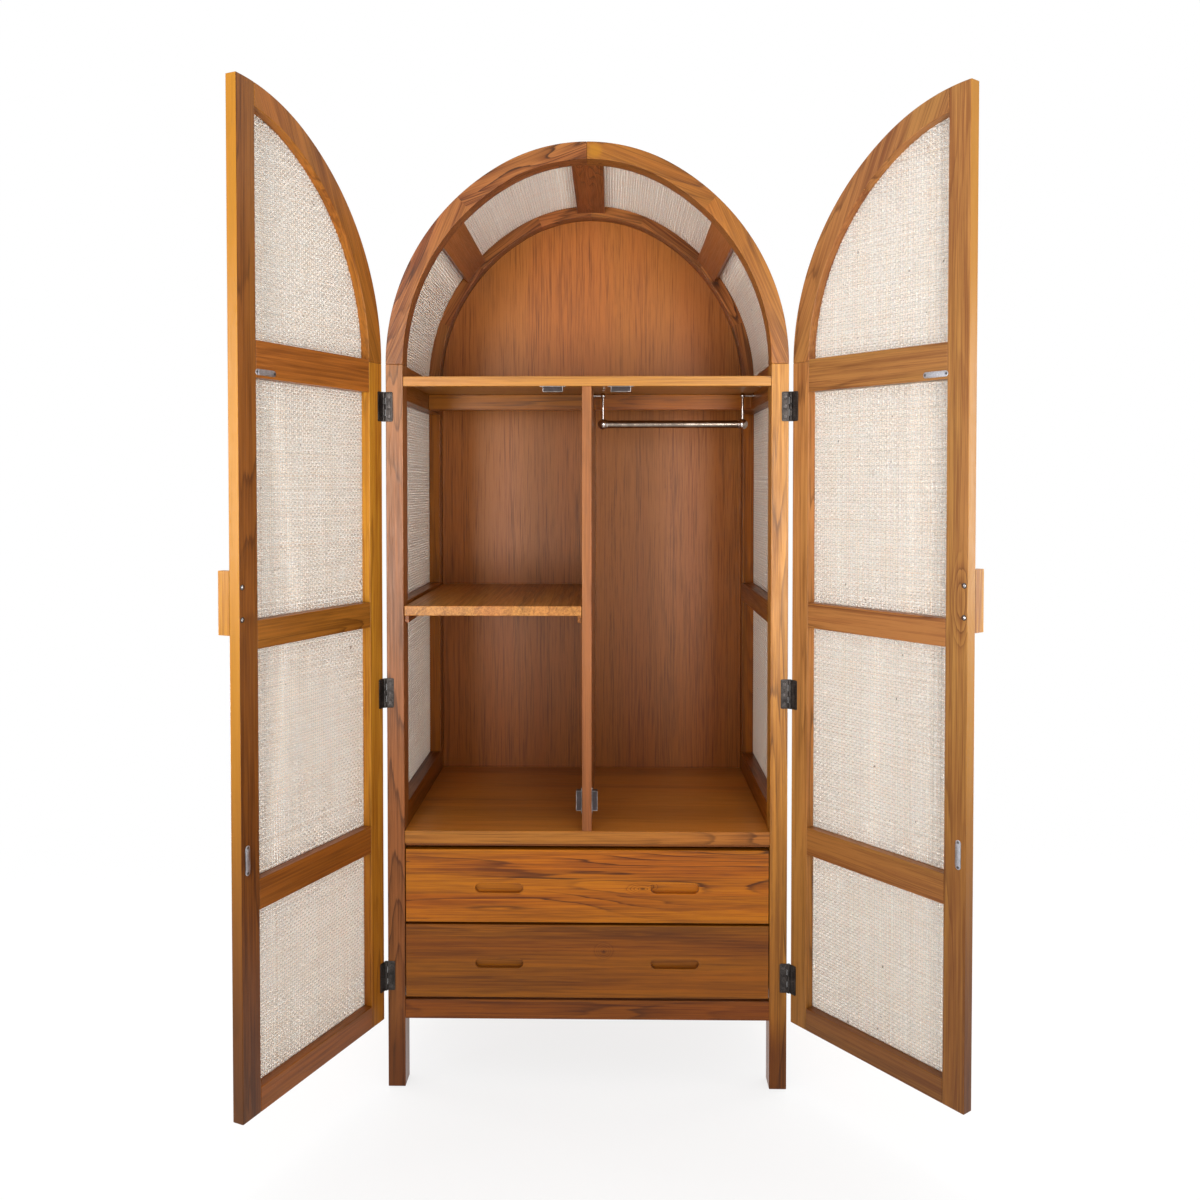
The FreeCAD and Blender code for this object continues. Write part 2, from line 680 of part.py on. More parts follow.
# Doors: modelled shut, then each node is swung about the pins to the angle it stands at.
DOOR_ANGLES = {LEFT: -SIZES["LeftDoorAngle"], RIGHT: SIZES["RightDoorAngle"]}
STILE_INNER = HALF - d.HingeStileWidth
door_y = (DOOR_OUT, DOOR_IN)
door_cane_low = DOOR_OUT + d.DoorCaneInset
door_cane_y = (door_cane_low, door_cane_low + d.CaneThickness)
door_top_low = SPRING - d.TopRailDrop
door_top_z = (door_top_low, door_top_low + d.TopRailWidth)
DOOR_RAILS = (
    (d.FootGap, d.FootGap + d.BottomRailWidth),
    (d.DrawerRailLow, d.DrawerRailLow + d.DrawerRailWidth),
    (d.MiddleRailLow, d.MiddleRailLow + d.MiddleRailWidth),
)
for side, side_name in SIDE_NAMES.items():
    door = side_name + "_door_"
    hinge_line = FreeCAD.Vector(side * float(PIN_X), float(PIN_Y), 0)
    swing = FreeCAD.Rotation(FreeCAD.Vector(0, 0, 1), DOOR_ANGLES[side])
    pose = FreeCAD.Placement(FreeCAD.Vector(), swing, hinge_line)
    opening_x = across(side, d.MeetingStileWidth, STILE_INNER)

    label = door + "hinge_stile"
    blank = board(label + "_blank", across(side, STILE_INNER, HALF), door_y, (d.FootGap, SPRING))
    holes = pilot_holes(label, side, DOOR_IN, (0, -1, 0))
    node(label, [without(label + "_drilled", blank, holes)], pose)

    label = door + "meeting_stile"
    stile_x = across(side, d.MeetingGap, d.MeetingStileWidth)
    trim = slab(stile_x, door_y, (d.FootGap, d.CarcassHeight))
    blank = shaped(label + "_blank", arched_slab(ZERO, d.FootGap, door_y).common(trim))
    bolt_x = (d.MeetingGap + d.HandleWidth / 2) * side
    bolt_heights = [HANDLE_MIDDLE + d.BoltSpacing * step / 2 for step in (-1, 1)]
    hole_radius = d.BoltRadius + d.ScrewClearance
    reach = d.DoorThickness + d.BoltBite + d.ScrewClearance
    holes = [rod("%s_hole_%d" % (label, i), hole_radius, reach, (bolt_x, DOOR_IN, z), (0, -1, 0))
             for i, z in enumerate(bolt_heights, start=1)]
    node(label, [without(label + "_drilled", blank, holes)], pose)

    label = door + "handle"
    node(label, [without(label + "_drilled", handle_block(label + "_block", side), holes)], pose)

    label = door + "handle_bolt"
    bolts = []
    for number, z in enumerate(bolt_heights, start=1):
        place = (bolt_x, DOOR_IN, z)
        cap_name = "%s_head_%d" % (label, number)
        head = dome(cap_name, d.BoltHeadRadius, d.BoltHeadHeight, place, (0, 1, 0))
        shank_length = d.DoorThickness + d.BoltBite
        shank = rod("%s_shank_%d" % (label, number), d.BoltRadius, shank_length, place, (0, -1, 0))
        bolts.append(fused("%s_%d" % (label, number), [head, shank]))
    node(label + "s", bolts, pose)

    label = door + "curved_rail"
    rail = half_ring(side, ZERO, d.HingeStileWidth, door_y)
    centre = across(RIGHT, -d.MeetingStileWidth, d.MeetingStileWidth)
    node(label, [shaped(label + "_board", rail.cut(slab(centre, door_y, (ZERO, d.CarcassHeight))))], pose)

    label = door + "rail"
    rails = [board("%s_%d" % (label, i), opening_x, door_y, z)
             for i, z in enumerate(DOOR_RAILS, start=1)]
    within = arched_slab(d.HingeStileWidth, d.FootGap, door_y)
    top_rail = within.common(slab(opening_x, door_y, door_top_z))
    node(label + "s", rails + [shaped(label + "_top", top_rail)], pose)

    label = door + "cane"
    edges = DOOR_RAILS + (door_top_z,)
    canes = [board("%s_%d" % (label, i), opening_x, door_cane_y, (below[1], above[0]))
             for i, (below, above) in enumerate(zip(edges, edges[1:]), start=1)]
    within = arched_slab(d.HingeStileWidth, d.FootGap, door_cane_y)
    top_cane = within.common(slab(opening_x, door_cane_y, (door_top_z[1], d.CarcassHeight)))
    node(label, canes + [shaped(label + "_top", top_cane)], pose)

    leaves = []
    for number, height in enumerate(HINGE_HEIGHTS, start=1):
        label = "%sleaf_%d" % (door, number)
        own = range(1, KNUCKLES, 2)
        leaf_y = (DOOR_IN, DOOR_LEAF_TOP)
        leaf = hinge_leaf(label, side, height, leaf_y, DOOR_LEAF_TOP, (0, -1, 0), own)
        leaves.append(leaf)
    node(door + "hinge_leaves", leaves, pose)
    node(door + "leaf_screws", screws(door + "screw", side, DOOR_LEAF_TOP, (0, -1, 0)), pose)
    plates = [strike_plate("%sstrike_%d" % (door, upright), side, upright) for upright in (0, 1)]
    node(door + "strike_plates", plates, pose)


def catch(name, side, upright):
    """A magnetic catch: a thin shell with two ears, and the magnet that fills it."""
    front = DOOR_IN + d.StrikeThickness + d.StrikeGap
    back = front + d.CatchDepth

    def part(piece, length, low, high, y):
        """A block centred along the catch, from low to high off its base."""
        half = length / 2
        if upright:
            z = (LOW_CATCH_HEIGHT - half, LOW_CATCH_HEIGHT + half)
            return board(piece, across(side, DIVIDER + low, DIVIDER + high), y, z)
        x = across(side, d.TopCatchMiddle - half, d.TopCatchMiddle + half)
        return board(piece, x, y, (LIP_LOW - high, LIP_LOW - low))

    box = part(name + "_box", d.CatchLength, ZERO, d.CatchHeight, (front, back))
    ears = part(name + "_ears", d.CatchBaseLength, ZERO, d.CatchWall, (FRONT, back))
    hollow = d.CatchLength - d.CatchWall * 2
    depth = (front, back - d.CatchWall)
    magnet = part(name + "_magnet", hollow, d.CatchWall, d.CatchHeight - d.CatchWall, depth)
    return [without(name + "_shell", fused(name + "_body", [box, ears]), [magnet]), magnet]


# Four magnetic catches: two under the top shelf's lip, two on the sides of the divider.
catches = []
for side, side_name in SIDE_NAMES.items():
    for upright in (0, 1):
        catches += catch("%s_catch_%d" % (side_name, upright), side, upright)
node("magnetic_catches", catches)

# Hanging rail on the right: a tube in two bored ball finials, each on a rod that hangs
# from a ball and a short arm fixed to the divider or to the side rail.
rail_y = bar_front - d.RailBarGap
rail_z = SHELF_UNDERSIDE - d.RailDrop
arm_z = SHELF_UNDERSIDE - d.HangerGap - d.HeadBallRadius
wall_planes = {LEFT: DIVIDER, RIGHT: INNER}
rod_planes = {LEFT: DIVIDER + d.DividerRodInset, RIGHT: INNER - d.SideRodInset}
hangers = []
for side, side_name in SIDE_NAMES.items():
    label = side_name + "_hanger"
    wall, middle = wall_planes[side], rod_planes[side]
    outward, inward = (side, 0, 0), (-side, 0, 0)
    on_wall = (wall, rail_y, arm_z)
    inset = d.SideRodInset if side == RIGHT else d.DividerRodInset
    pieces = [
        rod(label + "_flange", d.HeadBallRadius, d.FlangeThickness, on_wall, inward),
        rod(label + "_arm", d.RodRadius, inset, on_wall, inward),
        ball(label + "_head", d.HeadBallRadius, (middle, rail_y, arm_z)),
        rod(label + "_rod", d.RodRadius, arm_z - rail_z, (middle, rail_y, rail_z), (0, 0, 1)),
        ball(label + "_finial", d.FinialRadius, (middle, rail_y, rail_z)),
    ]
    socket_radius = d.RailRadius + d.SocketClearance
    start = (middle, rail_y, rail_z)
    socket = rod(label + "_socket", socket_radius, d.FinialRadius, start, inward)
    hangers.append(without(label, fused(label + "_body", pieces), [socket]))
node("rail_hangers", hangers)
tube_start = rod_planes[LEFT] + d.SocketClearance
tube_length = rod_planes[RIGHT] - d.SocketClearance - tube_start
start = (tube_start, rail_y, rail_z)
tube = rod("rail_tube_outside", d.RailRadius, tube_length, start, (1, 0, 0))
tube_bore = rod("rail_tube_bore", d.RailRadius - d.RailWall, tube_length, start, (1, 0, 0))
node("rail_tube", [without("rail_tube_body", tube, [tube_bore])])


# The two drawer fronts share the height between the foot rail and the strip, with the
# same gap below, between and above them.
lower_front = d.FootGap + d.FootRailHeight + d.DrawerSpacing
FRONT_HEIGHT = (d.DrawerRailLow - lower_front - d.DrawerSpacing * 2) / 2


def drawer_front(name, low):
    """A drawer front padded from its outline, with two finger slots routed into its face."""
    body = doc.addObject("PartDesign::Body", name)
    outline = origin_sketch(body, name + "_outline", "XZ_Plane")
    add_rectangle(outline, (INNER - d.DrawerGap) * 2, FRONT_HEIGHT)
    pad = body.newObject("PartDesign::Pad", name + "_pad")
    pad.Profile = outline
    bind(pad, Length=d.DrawerFrontThickness)
    doc.recompute()
    solid_volume = pad.Shape.Volume
    slots = origin_sketch(body, name + "_slots", "XZ_Plane")
    slots.setExpression("AttachmentOffset.Base.z", as_size(d.DrawerFrontThickness).text)
    slot_height = FRONT_HEIGHT / 2 - d.SlotDrop
    for side, side_name in SIDE_NAMES.items():
        add_stadium(slots, side_name, side, d.SlotMiddle, slot_height)
    pocket = body.newObject("PartDesign::Pocket", name + "_pocket")
    pocket.Profile = slots
    bind(pocket, Length=d.SlotDepth)
    bind_base(body, ZERO, FRONT + d.DrawerFrontThickness, low)
    doc.recompute()
    if not body.Shape.Volume < solid_volume:
        raise RuntimeError("the finger slots of %s cut nothing" % name)
    return body


def channel(name, side, x, half_height, y, middle, web_inside):
    """One C-shaped runner member, its web on the inner or the outer side."""
    low, high = x
    outside = board(name + "_outside", across(side, low, high), y,
                    (middle - half_height, middle + half_height))
    hollow_low = low + d.RunnerWall if web_inside else low
    hollow_high = high if web_inside else high - d.RunnerWall
    inner_half = half_height - d.RunnerWall
    hollow = board(name + "_hollow", across(side, hollow_low, hollow_high), y,
                   (middle - inner_half, middle + inner_half))
    return without(name, outside, [hollow])


# Two drawers. The fronts fill the space between the posts. The boxes behind them ride on
# runners of three nested channels, which stand on spacers fixed to the posts.
SPACER_FACE = INNER - d.SpacerThickness
BOX_FACE = SPACER_FACE - d.RunnerWidth
BOX_INNER = BOX_FACE - d.DrawerSideThickness
box_front = FRONT + d.DrawerFrontThickness
box_back = PANEL_FRONT - d.DrawerBackGap
spacer_front = box_front + d.SpacerGap
runner_y = (spacer_front, PANEL_FRONT - d.RunnerBackGap)
step = d.RunnerWall + d.RunnerPlay
outer_half = d.RunnerHeight / 2
middle_half = outer_half - step
drawer_half = middle_half - step
drawer_lows = {"lower": lower_front, "upper": lower_front + FRONT_HEIGHT + d.DrawerSpacing}
spacers, cabinet_members = [], []
for drawer, low in drawer_lows.items():
    label = drawer + "_drawer_"
    node(label + "front", [drawer_front(label + "front_board", low)])

    side_low = low + d.DrawerSideLift
    side_top = low + FRONT_HEIGHT - d.DrawerSideDrop
    box_y = (box_front, box_back)
    walls = [board(label + side_name, across(side, BOX_INNER, BOX_FACE), box_y, (side_low, side_top))
             for side, side_name in SIDE_NAMES.items()]
    between = across(RIGHT, -BOX_INNER, BOX_INNER)
    back_inner = box_back - d.DrawerSideThickness
    back_z = (side_low, side_top - d.DrawerBackDrop)
    walls.append(board(label + "back", between, (back_inner, box_back), back_z))
    node(label + "box", walls)
    bottom_low = side_low + d.DrawerBottomLift
    bottom_z = (bottom_low, bottom_low + d.DrawerBottomThickness)
    node(label + "bottom", [board(label + "base", between, (box_front, back_inner), bottom_z)])

    height = side_top - d.RunnerDrop
    middles, drawer_members = [], []
    for side, side_name in SIDE_NAMES.items():
        name = "%s_%s_" % (drawer, side_name)
        spacer_z = (side_low - d.SpacerMargin, side_top + d.SpacerMargin)
        spacer_y = (spacer_front, FRAME_BACK + d.SpacerLap)
        spacers.append(board(name + "spacer", across(side, SPACER_FACE, INNER), spacer_y, spacer_z))
        outer_x = (BOX_FACE + step * 2, SPACER_FACE)
        member = channel(name + "cabinet_member", side, outer_x, outer_half, runner_y, height, False)
        cabinet_members.append(member)
        middle_x = (BOX_FACE + step, SPACER_FACE - step)
        member = channel(name + "middle_member", side, middle_x, middle_half, runner_y, height, False)
        middles.append(member)
        inner_x = (BOX_FACE, SPACER_FACE - step * 2)
        member = channel(name + "drawer_member", side, inner_x, drawer_half, runner_y, height, True)
        drawer_members.append(member)
    node(drawer + "_runner_middles", middles)
    node(label + "runners", drawer_members)
node("runner_spacers", spacers)
node("cabinet_runners", cabinet_members)

# Every object and every sub-part is checked before anything is written.
doc.recompute()
for item in doc.Objects:
    if "Invalid" in item.State or "Error" in item.State:
        raise RuntimeError("%s failed: %s" % (item.Label, item.State))
for part in nodes:
    if part.Shape.isNull() or not part.Shape.isValid():
        raise RuntimeError("%s has no valid shape" % part.Label)
os.makedirs("parts", exist_ok=True)
for part in nodes:
    part.Shape.exportStep("parts/%s.step" % part.Label)
print(len(nodes), "nodes,", sum(len(part.Shape.Solids) for part in nodes), "solids")
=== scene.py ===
import functools
import json
import math

import bmesh
import bpy
import numpy as np
from mathutils import Matrix, Vector

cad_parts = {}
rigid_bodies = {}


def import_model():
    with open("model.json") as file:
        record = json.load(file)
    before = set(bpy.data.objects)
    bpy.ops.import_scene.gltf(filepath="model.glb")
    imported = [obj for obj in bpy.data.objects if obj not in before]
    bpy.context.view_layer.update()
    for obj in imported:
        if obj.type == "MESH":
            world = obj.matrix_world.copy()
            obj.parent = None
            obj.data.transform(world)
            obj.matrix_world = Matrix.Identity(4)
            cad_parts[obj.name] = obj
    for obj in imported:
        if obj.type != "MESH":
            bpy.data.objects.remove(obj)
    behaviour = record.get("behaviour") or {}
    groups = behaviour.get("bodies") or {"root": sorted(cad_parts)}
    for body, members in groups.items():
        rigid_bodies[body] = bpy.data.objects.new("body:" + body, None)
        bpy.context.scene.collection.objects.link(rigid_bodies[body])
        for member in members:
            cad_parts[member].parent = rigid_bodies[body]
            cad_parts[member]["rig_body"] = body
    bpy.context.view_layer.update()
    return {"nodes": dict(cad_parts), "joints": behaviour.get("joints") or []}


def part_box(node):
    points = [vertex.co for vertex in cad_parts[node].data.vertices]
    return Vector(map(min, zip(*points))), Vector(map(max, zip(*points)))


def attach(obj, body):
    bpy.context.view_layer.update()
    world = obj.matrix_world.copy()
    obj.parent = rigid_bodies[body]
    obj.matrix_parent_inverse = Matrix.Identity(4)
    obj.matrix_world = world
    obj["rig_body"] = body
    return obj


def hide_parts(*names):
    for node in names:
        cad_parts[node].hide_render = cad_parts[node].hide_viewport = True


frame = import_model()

# The view: a camera at eye height in front of the wardrobe, a little to its right. The
# picture is a square of 1200 pixels, and its middle lies below the camera's level line.
PICTURE = 1200
FOCAL_PIXELS = 1081.79
LEVEL_POINT = (594.97, 510.89)
SENSOR = 36.0
CAMERA_PLACE = (0.0556, -2.70199, 1.36048)
CAMERA_TILT = 0.02266
CAMERA_TURN = 0.0154
camera_data = bpy.data.cameras.new("photo_camera")
camera_data.sensor_width = SENSOR
camera_data.lens = FOCAL_PIXELS * SENSOR / PICTURE
camera_data.shift_x = (PICTURE / 2 - LEVEL_POINT[0]) / PICTURE
camera_data.shift_y = (LEVEL_POINT[1] - PICTURE / 2) / PICTURE
camera = bpy.data.objects.new("photo_camera", camera_data)
camera.location = CAMERA_PLACE
camera.rotation_euler = (math.pi / 2 - CAMERA_TILT, 0, CAMERA_TURN)
bpy.context.scene.collection.objects.link(camera)
bpy.context.scene.camera = camera
bpy.context.scene.view_settings.view_transform = "Standard"

# Two tall panels in front light the upper half most; a narrow one on each side gives the
# free edges of the doors their sheen. Panels low behind each side and over the vault shine
# through the cane.
TALL_SPREAD = math.radians(80)
SIDE_SPREAD = math.radians(90)
LOW_SPREAD = math.radians(55)


def in_scene(name, data):
    """A new object of the scene."""
    thing = bpy.data.objects.new(name, data)
    bpy.context.scene.collection.objects.link(thing)
    return thing


def soft_light(name, place, target, width, height, watts, spread):
    """A large soft panel of light aimed at a point."""
    lamp = bpy.data.lights.new(name, "AREA")
    lamp.shape = "RECTANGLE"
    lamp.spread = spread
    lamp.size, lamp.size_y, lamp.energy = width, height, watts
    panel = in_scene(name, lamp)
    panel.location = place
    panel.rotation_euler = (Vector(target) - Vector(place)).to_track_quat("-Z", "Y").to_euler()


soft_light("left_panel", (-1.2, -3.5, 1.35), (-0.3, 0, 2.3), 0.7, 1.8, 19, TALL_SPREAD)
soft_light("right_panel", (1.15, -3.5, 1.35), (0.3, 0, 2.3), 0.7, 1.8, 18, TALL_SPREAD)
soft_light("left_side_panel", (-2.6, -1.55, 1.5), (-0.64, -0.7, 1.6), 0.5, 1.1, 5, SIDE_SPREAD)
soft_light("right_side_panel", (2.7, -0.65, 1.4), (0.72, -0.78, 1.4), 0.5, 1.1, 4, SIDE_SPREAD)
soft_light("left_low_panel", (-3.1, 0.77, 0.35), (-0.6, -0.3, 0.3), 1.0, 0.6, 6, LOW_SPREAD)
soft_light("right_low_panel", (3.07, 1.2, 0.35), (0.6, -0.3, 0.3), 1.0, 0.6, 5.5, LOW_SPREAD)
soft_light("top_panel", (0, 0.45, 3.5), (0, -0.1, 1.95), 1.2, 0.9, 3.5, LOW_SPREAD)

# The studio: white all round for what the camera and polished parts see; for everything
# else a bright backdrop behind and above and a dim room in front.
ROOM_GLOW = 0.46
BACKDROP_GLOW = 1.35
BACKDROP_WAY = (0, 0.8, 0.6)
BACKDROP_FADE = 0.5
WHITE = (1, 1, 1, 1)


def add_node(tree, kind, settings=None, **inputs):
    """A shader or geometry node, its inputs set to values or linked to other sockets."""
    node = tree.nodes.new(kind)
    for name, value in (settings or {}).items():
        setattr(node, name, value)
    for name, value in inputs.items():
        key = int(name[1:]) if name[0] == "i" and name[1:].isdigit() else name.replace("_", " ")
        if isinstance(value, bpy.types.NodeSocket):
            tree.links.new(value, node.inputs[key])
        else:
            node.inputs[key].default_value = value
    return node


def maths(tree, operation, *values):
    """The result of one sum in a node tree."""
    inputs = {"i%d" % number: value for number, value in enumerate(values)}
    return add_node(tree, "ShaderNodeMath", {"operation": operation}, **inputs).outputs[0]


def ramped(tree, value, low, high, bottom=0.0, top=1.0, kind="SMOOTHSTEP"):
    """A value carried from one range to another."""
    ramp = add_node(tree, "ShaderNodeMapRange", {"interpolation_type": kind}, Value=value, From_Min=low,
                    From_Max=high, To_Min=bottom, To_Max=top)
    return ramp.outputs[0]


def seen_straight(tree, *rays):
    """1 for the camera's own rays and for any others that are named, 0 for the rest."""
    path = add_node(tree, "ShaderNodeLightPath").outputs
    seen = path["Is Camera Ray"]
    for ray in rays:
        seen = maths(tree, "MAXIMUM", seen, path[ray])
    return seen


world = bpy.data.worlds.new("studio")
world.use_nodes = True
bpy.context.scene.world = world
tree = world.node_tree
tree.nodes.clear()
seen = seen_straight(tree, "Is Glossy Ray", "Is Transmission Ray")
direction = add_node(tree, "ShaderNodeTexCoord").outputs["Generated"]
behind = add_node(tree, "ShaderNodeVectorMath", {"operation": "DOT_PRODUCT"}, i0=direction, i1=BACKDROP_WAY)
room = ramped(tree, behind.outputs["Value"], -BACKDROP_FADE, BACKDROP_FADE, ROOM_GLOW, BACKDROP_GLOW)
strength = ramped(tree, seen, 0.0, 1.0, room, 1.0, "LINEAR")
glow = add_node(tree, "ShaderNodeBackground", Color=WHITE, Strength=strength)
add_node(tree, "ShaderNodeOutputWorld", Surface=glow.outputs[0])

# The floor is a pale round slab that fades to white away from the wardrobe and keeps its
# shadow. It lies a hair below the feet.
FLOOR_RADIUS = 4.0
FLOOR_WHITE_FROM = 0.9
FLOOR_WHITE_TO = 2.6
FLOOR_DROP = 0.0005
SHADOW_SHARE = 0.22
FLOOR_GREY = (0.86, 0.86, 0.86, 1)


def new_material(name):
    """An empty material and its node tree."""
    material = bpy.data.materials.new(name)
    material.use_nodes = True
    material.node_tree.nodes.clear()
    return material, material.node_tree


disc = bmesh.new()
bmesh.ops.create_circle(disc, cap_ends=True, segments=96, radius=FLOOR_RADIUS)
bmesh.ops.translate(disc, vec=(0, 0, -FLOOR_DROP), verts=disc.verts)
floor_mesh = bpy.data.meshes.new("floor")
disc.to_mesh(floor_mesh)
disc.free()
floor = in_scene("floor", floor_mesh)
floor_material, tree = new_material("pale_floor")
place = add_node(tree, "ShaderNodeTexCoord")
radius = add_node(tree, "ShaderNodeVectorMath", {"operation": "LENGTH"}, i0=place.outputs["Object"])
fade = ramped(tree, radius.outputs["Value"], FLOOR_WHITE_FROM, FLOOR_WHITE_TO, 1 - SHADOW_SHARE,
              kind="LINEAR")
share = maths(tree, "MULTIPLY", seen_straight(tree, "Is Glossy Ray"), fade)
plain = add_node(tree, "ShaderNodeBsdfDiffuse", Color=FLOOR_GREY)
white = add_node(tree, "ShaderNodeEmission", Color=WHITE, Strength=1.0)
mixed = add_node(tree, "ShaderNodeMixShader", i0=share, i1=plain.outputs[0], i2=white.outputs[0])
add_node(tree, "ShaderNodeOutputMaterial", Surface=mixed.outputs[0])
floor_mesh.materials.append(floor_material)

# Teak: planed and oiled boards with fine pores, growth lines that run out in flames, gold
# and brown patches, and sparse dark streaks. Each board carries its own grain direction and
# its own place in the log as a vector on its mesh, so no two boards match.


def linear(code):
    """A colour written as six hexadecimal digits, as the linear colour that sockets take."""
    shares = [int(code[i:i + 2], 16) / 255 for i in (0, 2, 4)]
    return tuple(v / 12.92 if v <= 0.04045 else ((v + 0.055) / 1.055) ** 2.4 for v in shares) + (1.0,)


teak_grain = bpy.data.node_groups.new("teak_grain", "ShaderNodeTree")
TEAK_INPUTS = (
    ("Light", "NodeSocketColor", linear("B87334")),
    ("Dark", "NodeSocketColor", linear("7A431C")),
    ("Streak", "NodeSocketColor", linear("3B1E0E")),
    ("Fresh", "NodeSocketColor", linear("A66F16")),
    ("Ring Scale", "NodeSocketFloat", 9.0),
    ("Ring Count", "NodeSocketFloat", 15.0),
    ("Ring Share", "NodeSocketFloat", 0.4),
    ("Tone Share", "NodeSocketFloat", 0.55),
    ("Knot", "NodeSocketVector", (9.0, 9.0, 9.0)),
    ("Knot Reach", "NodeSocketVector", (0.03, 0.03, 0.012)),
    ("Gold Patch", "NodeSocketVector", (9.0, 9.0, 9.0)),
    ("Line Share", "NodeSocketFloat", 0.5),
    ("Streak Share", "NodeSocketFloat", 0.5),
    ("Fibre Share", "NodeSocketFloat", 0.42),
    ("Board Spread", "NodeSocketFloat", 0.25),
    # The lighter golden colour above, with its share and its low level, gives chosen faces a painted sheen,
    # darkened low down as painted shade.
    ("Fresh Share", "NodeSocketFloat", 0.8),
    ("Fresh Low", "NodeSocketFloat", 1.0),
    # The next four inputs set the painted shade that darkens boards towards the floor, most of all near it.
    ("Wax Low", "NodeSocketFloat", 0.1),
    ("Wax High", "NodeSocketFloat", 1.05),
    ("Wax Share", "NodeSocketFloat", 0.7),
    ("Foot Share", "NodeSocketFloat", 1.0),
)
SURFACE_OUTPUTS = (
    ("Color", "NodeSocketColor"),
    ("Roughness", "NodeSocketFloat"),
    ("Height", "NodeSocketFloat"),
)


def add_sockets(group, inputs, outputs):
    """Gives a node group its named inputs, some with a value, and its named outputs."""
    for name, kind, *value in inputs:
        socket = group.interface.new_socket(name, in_out="INPUT", socket_type=kind)
        if value:
            socket.default_value = value[0]
    for name, kind in outputs:
        group.interface.new_socket(name, in_out="OUTPUT", socket_type=kind)


add_sockets(teak_grain, TEAK_INPUTS, SURFACE_OUTPUTS)
tree = teak_grain
given = add_node(tree, "NodeGroupInput").outputs
grain = add_node(tree, "ShaderNodeAttribute", {"attribute_name": "grain"}).outputs["Vector"]
board = add_node(tree, "ShaderNodeAttribute", {"attribute_name": "board"}).outputs["Fac"]
fresh = add_node(tree, "ShaderNodeAttribute", {"attribute_name": "fresh"}).outputs["Fac"]


def vector_maths(operation, first, second):
    """The result of one sum of two vectors of the teak."""
    return add_node(tree, "ShaderNodeVectorMath", {"operation": operation}, i0=first, i1=second).outputs[0]


def length_of(vector):
    """The length of a vector of the teak."""
    return add_node(tree, "ShaderNodeVectorMath", {"operation": "LENGTH"}, i0=vector).outputs["Value"]


def noise(stretch, detail, distortion=0.0):
    """Noise on the grain, stretched by so many features a metre along, across and into a board."""
    texture = add_node(tree, "ShaderNodeTexNoise", Vector=vector_maths("MULTIPLY", grain, stretch), Scale=1.0,
                       Detail=detail, Roughness=0.55, Distortion=distortion)
    return texture.outputs["Fac"]


def banded(value, low, high, bottom=0.0, top=1.0):
    """A value of the finish that is being made, carried smoothly from one range to another."""
    return ramped(tree, value, low, high, bottom, top)


def times(*values):
    """The product of any number of values."""
    return functools.reduce(lambda first, second: maths(tree, "MULTIPLY", first, second), values)


def plus(*values):
    """The sum of any number of values."""
    return functools.reduce(lambda first, second: maths(tree, "ADD", first, second), values)


def blended(tree, share, first, second):
    """The first colour where the share is 0, the second where it is 1."""
    mix = add_node(tree, "ShaderNodeMix", {"data_type": "RGBA"}, Factor=share, i6=first, i7=second)
    return mix.outputs[2]


def mixed_colours(share, first, second):
    """Two colours of the finish that is being made, mixed by a share."""
    return blended(tree, share, first, second)


# Growth rings: bands in a slow field that a knot pulls round itself, with dark late wood
# where the board shows its flames.
TONE_GRAIN, FLAME_GRAIN, WAVER_GRAIN = (0.8, 13, 13), (1.1, 16, 16), (5, 90, 90)
FIBRE_GRAIN, STRAND_GRAIN, PORE_GRAIN = (11, 440, 440), (3.0, 190, 190), (26, 1600, 1600)
RING_GRAIN, VEIN_GRAIN, HUE_GRAIN = (0.09, 1, 1), (1.0, 46, 46), (0.7, 9, 9)
tone = banded(noise(TONE_GRAIN, 4, 0.8), 0.32, 0.68)
field = add_node(tree, "ShaderNodeTexNoise", Vector=vector_maths("MULTIPLY", grain, RING_GRAIN),
                 Scale=given["Ring Scale"], Detail=2.0, Roughness=0.4, Distortion=0.25).outputs["Fac"]
field = plus(times(field, given["Ring Count"]), times(noise(WAVER_GRAIN, 2), 0.7))
here = add_node(tree, "ShaderNodeTexCoord").outputs["Object"]
from_knot = vector_maths("DIVIDE", vector_maths("SUBTRACT", here, given["Knot"]), given["Knot Reach"])
from_knot = length_of(from_knot)
year = maths(tree, "FRACT", plus(field, banded(from_knot, 0, 3, 4.0, 0.0)))
early = banded(year, 0.9, 1.0, 1.0, 0.0)
rings = times(banded(year, 0.05, 0.9), early)
near_knot = banded(from_knot, 1.5, 3, 0.9, 0.0)
presence = maths(tree, "MAXIMUM", banded(noise(FLAME_GRAIN, 2), 0.42, 0.66), near_knot)
late_wood = times(banded(year, 0.74, 0.92), early, presence)

# Fibres, darker strands, pores and veins, then the colours: the wood between its light and
# its dark, late wood, veins and the heart of a knot in the streak colour, and one gold patch.
fibre = noise(FIBRE_GRAIN, 3)
strand = noise(STRAND_GRAIN, 3, 0.6)
pores = banded(noise(PORE_GRAIN, 2), 0.60, 0.74)
vein = banded(noise(VEIN_GRAIN, 4, 1.2), 0.63, 0.70)
body_share = plus(times(rings, banded(presence, 0, 1, 0.4, 1.0), given["Ring Share"]),
                  times(tone, given["Tone Share"]),
                  times(banded(fibre, 0.25, 0.75, -0.6, 0.6), given["Fibre Share"]),
                  banded(strand, 0.3, 0.7, -0.34, 0.34))
base = mixed_colours(body_share, given["Light"], given["Dark"])
base = mixed_colours(times(late_wood, given["Line Share"]), base, given["Streak"])
base = mixed_colours(times(vein, given["Streak Share"]), base, given["Streak"])
base = mixed_colours(banded(from_knot, 0.25, 0.5, 0.75, 0.0), base, given["Streak"])
hue = plus(times(banded(noise(HUE_GRAIN, 3), 0.35, 0.65, -0.0064, 0.01), given["Tone Share"]), 0.5)
base = add_node(tree, "ShaderNodeHueSaturation", Hue=hue, Color=base).outputs[0]
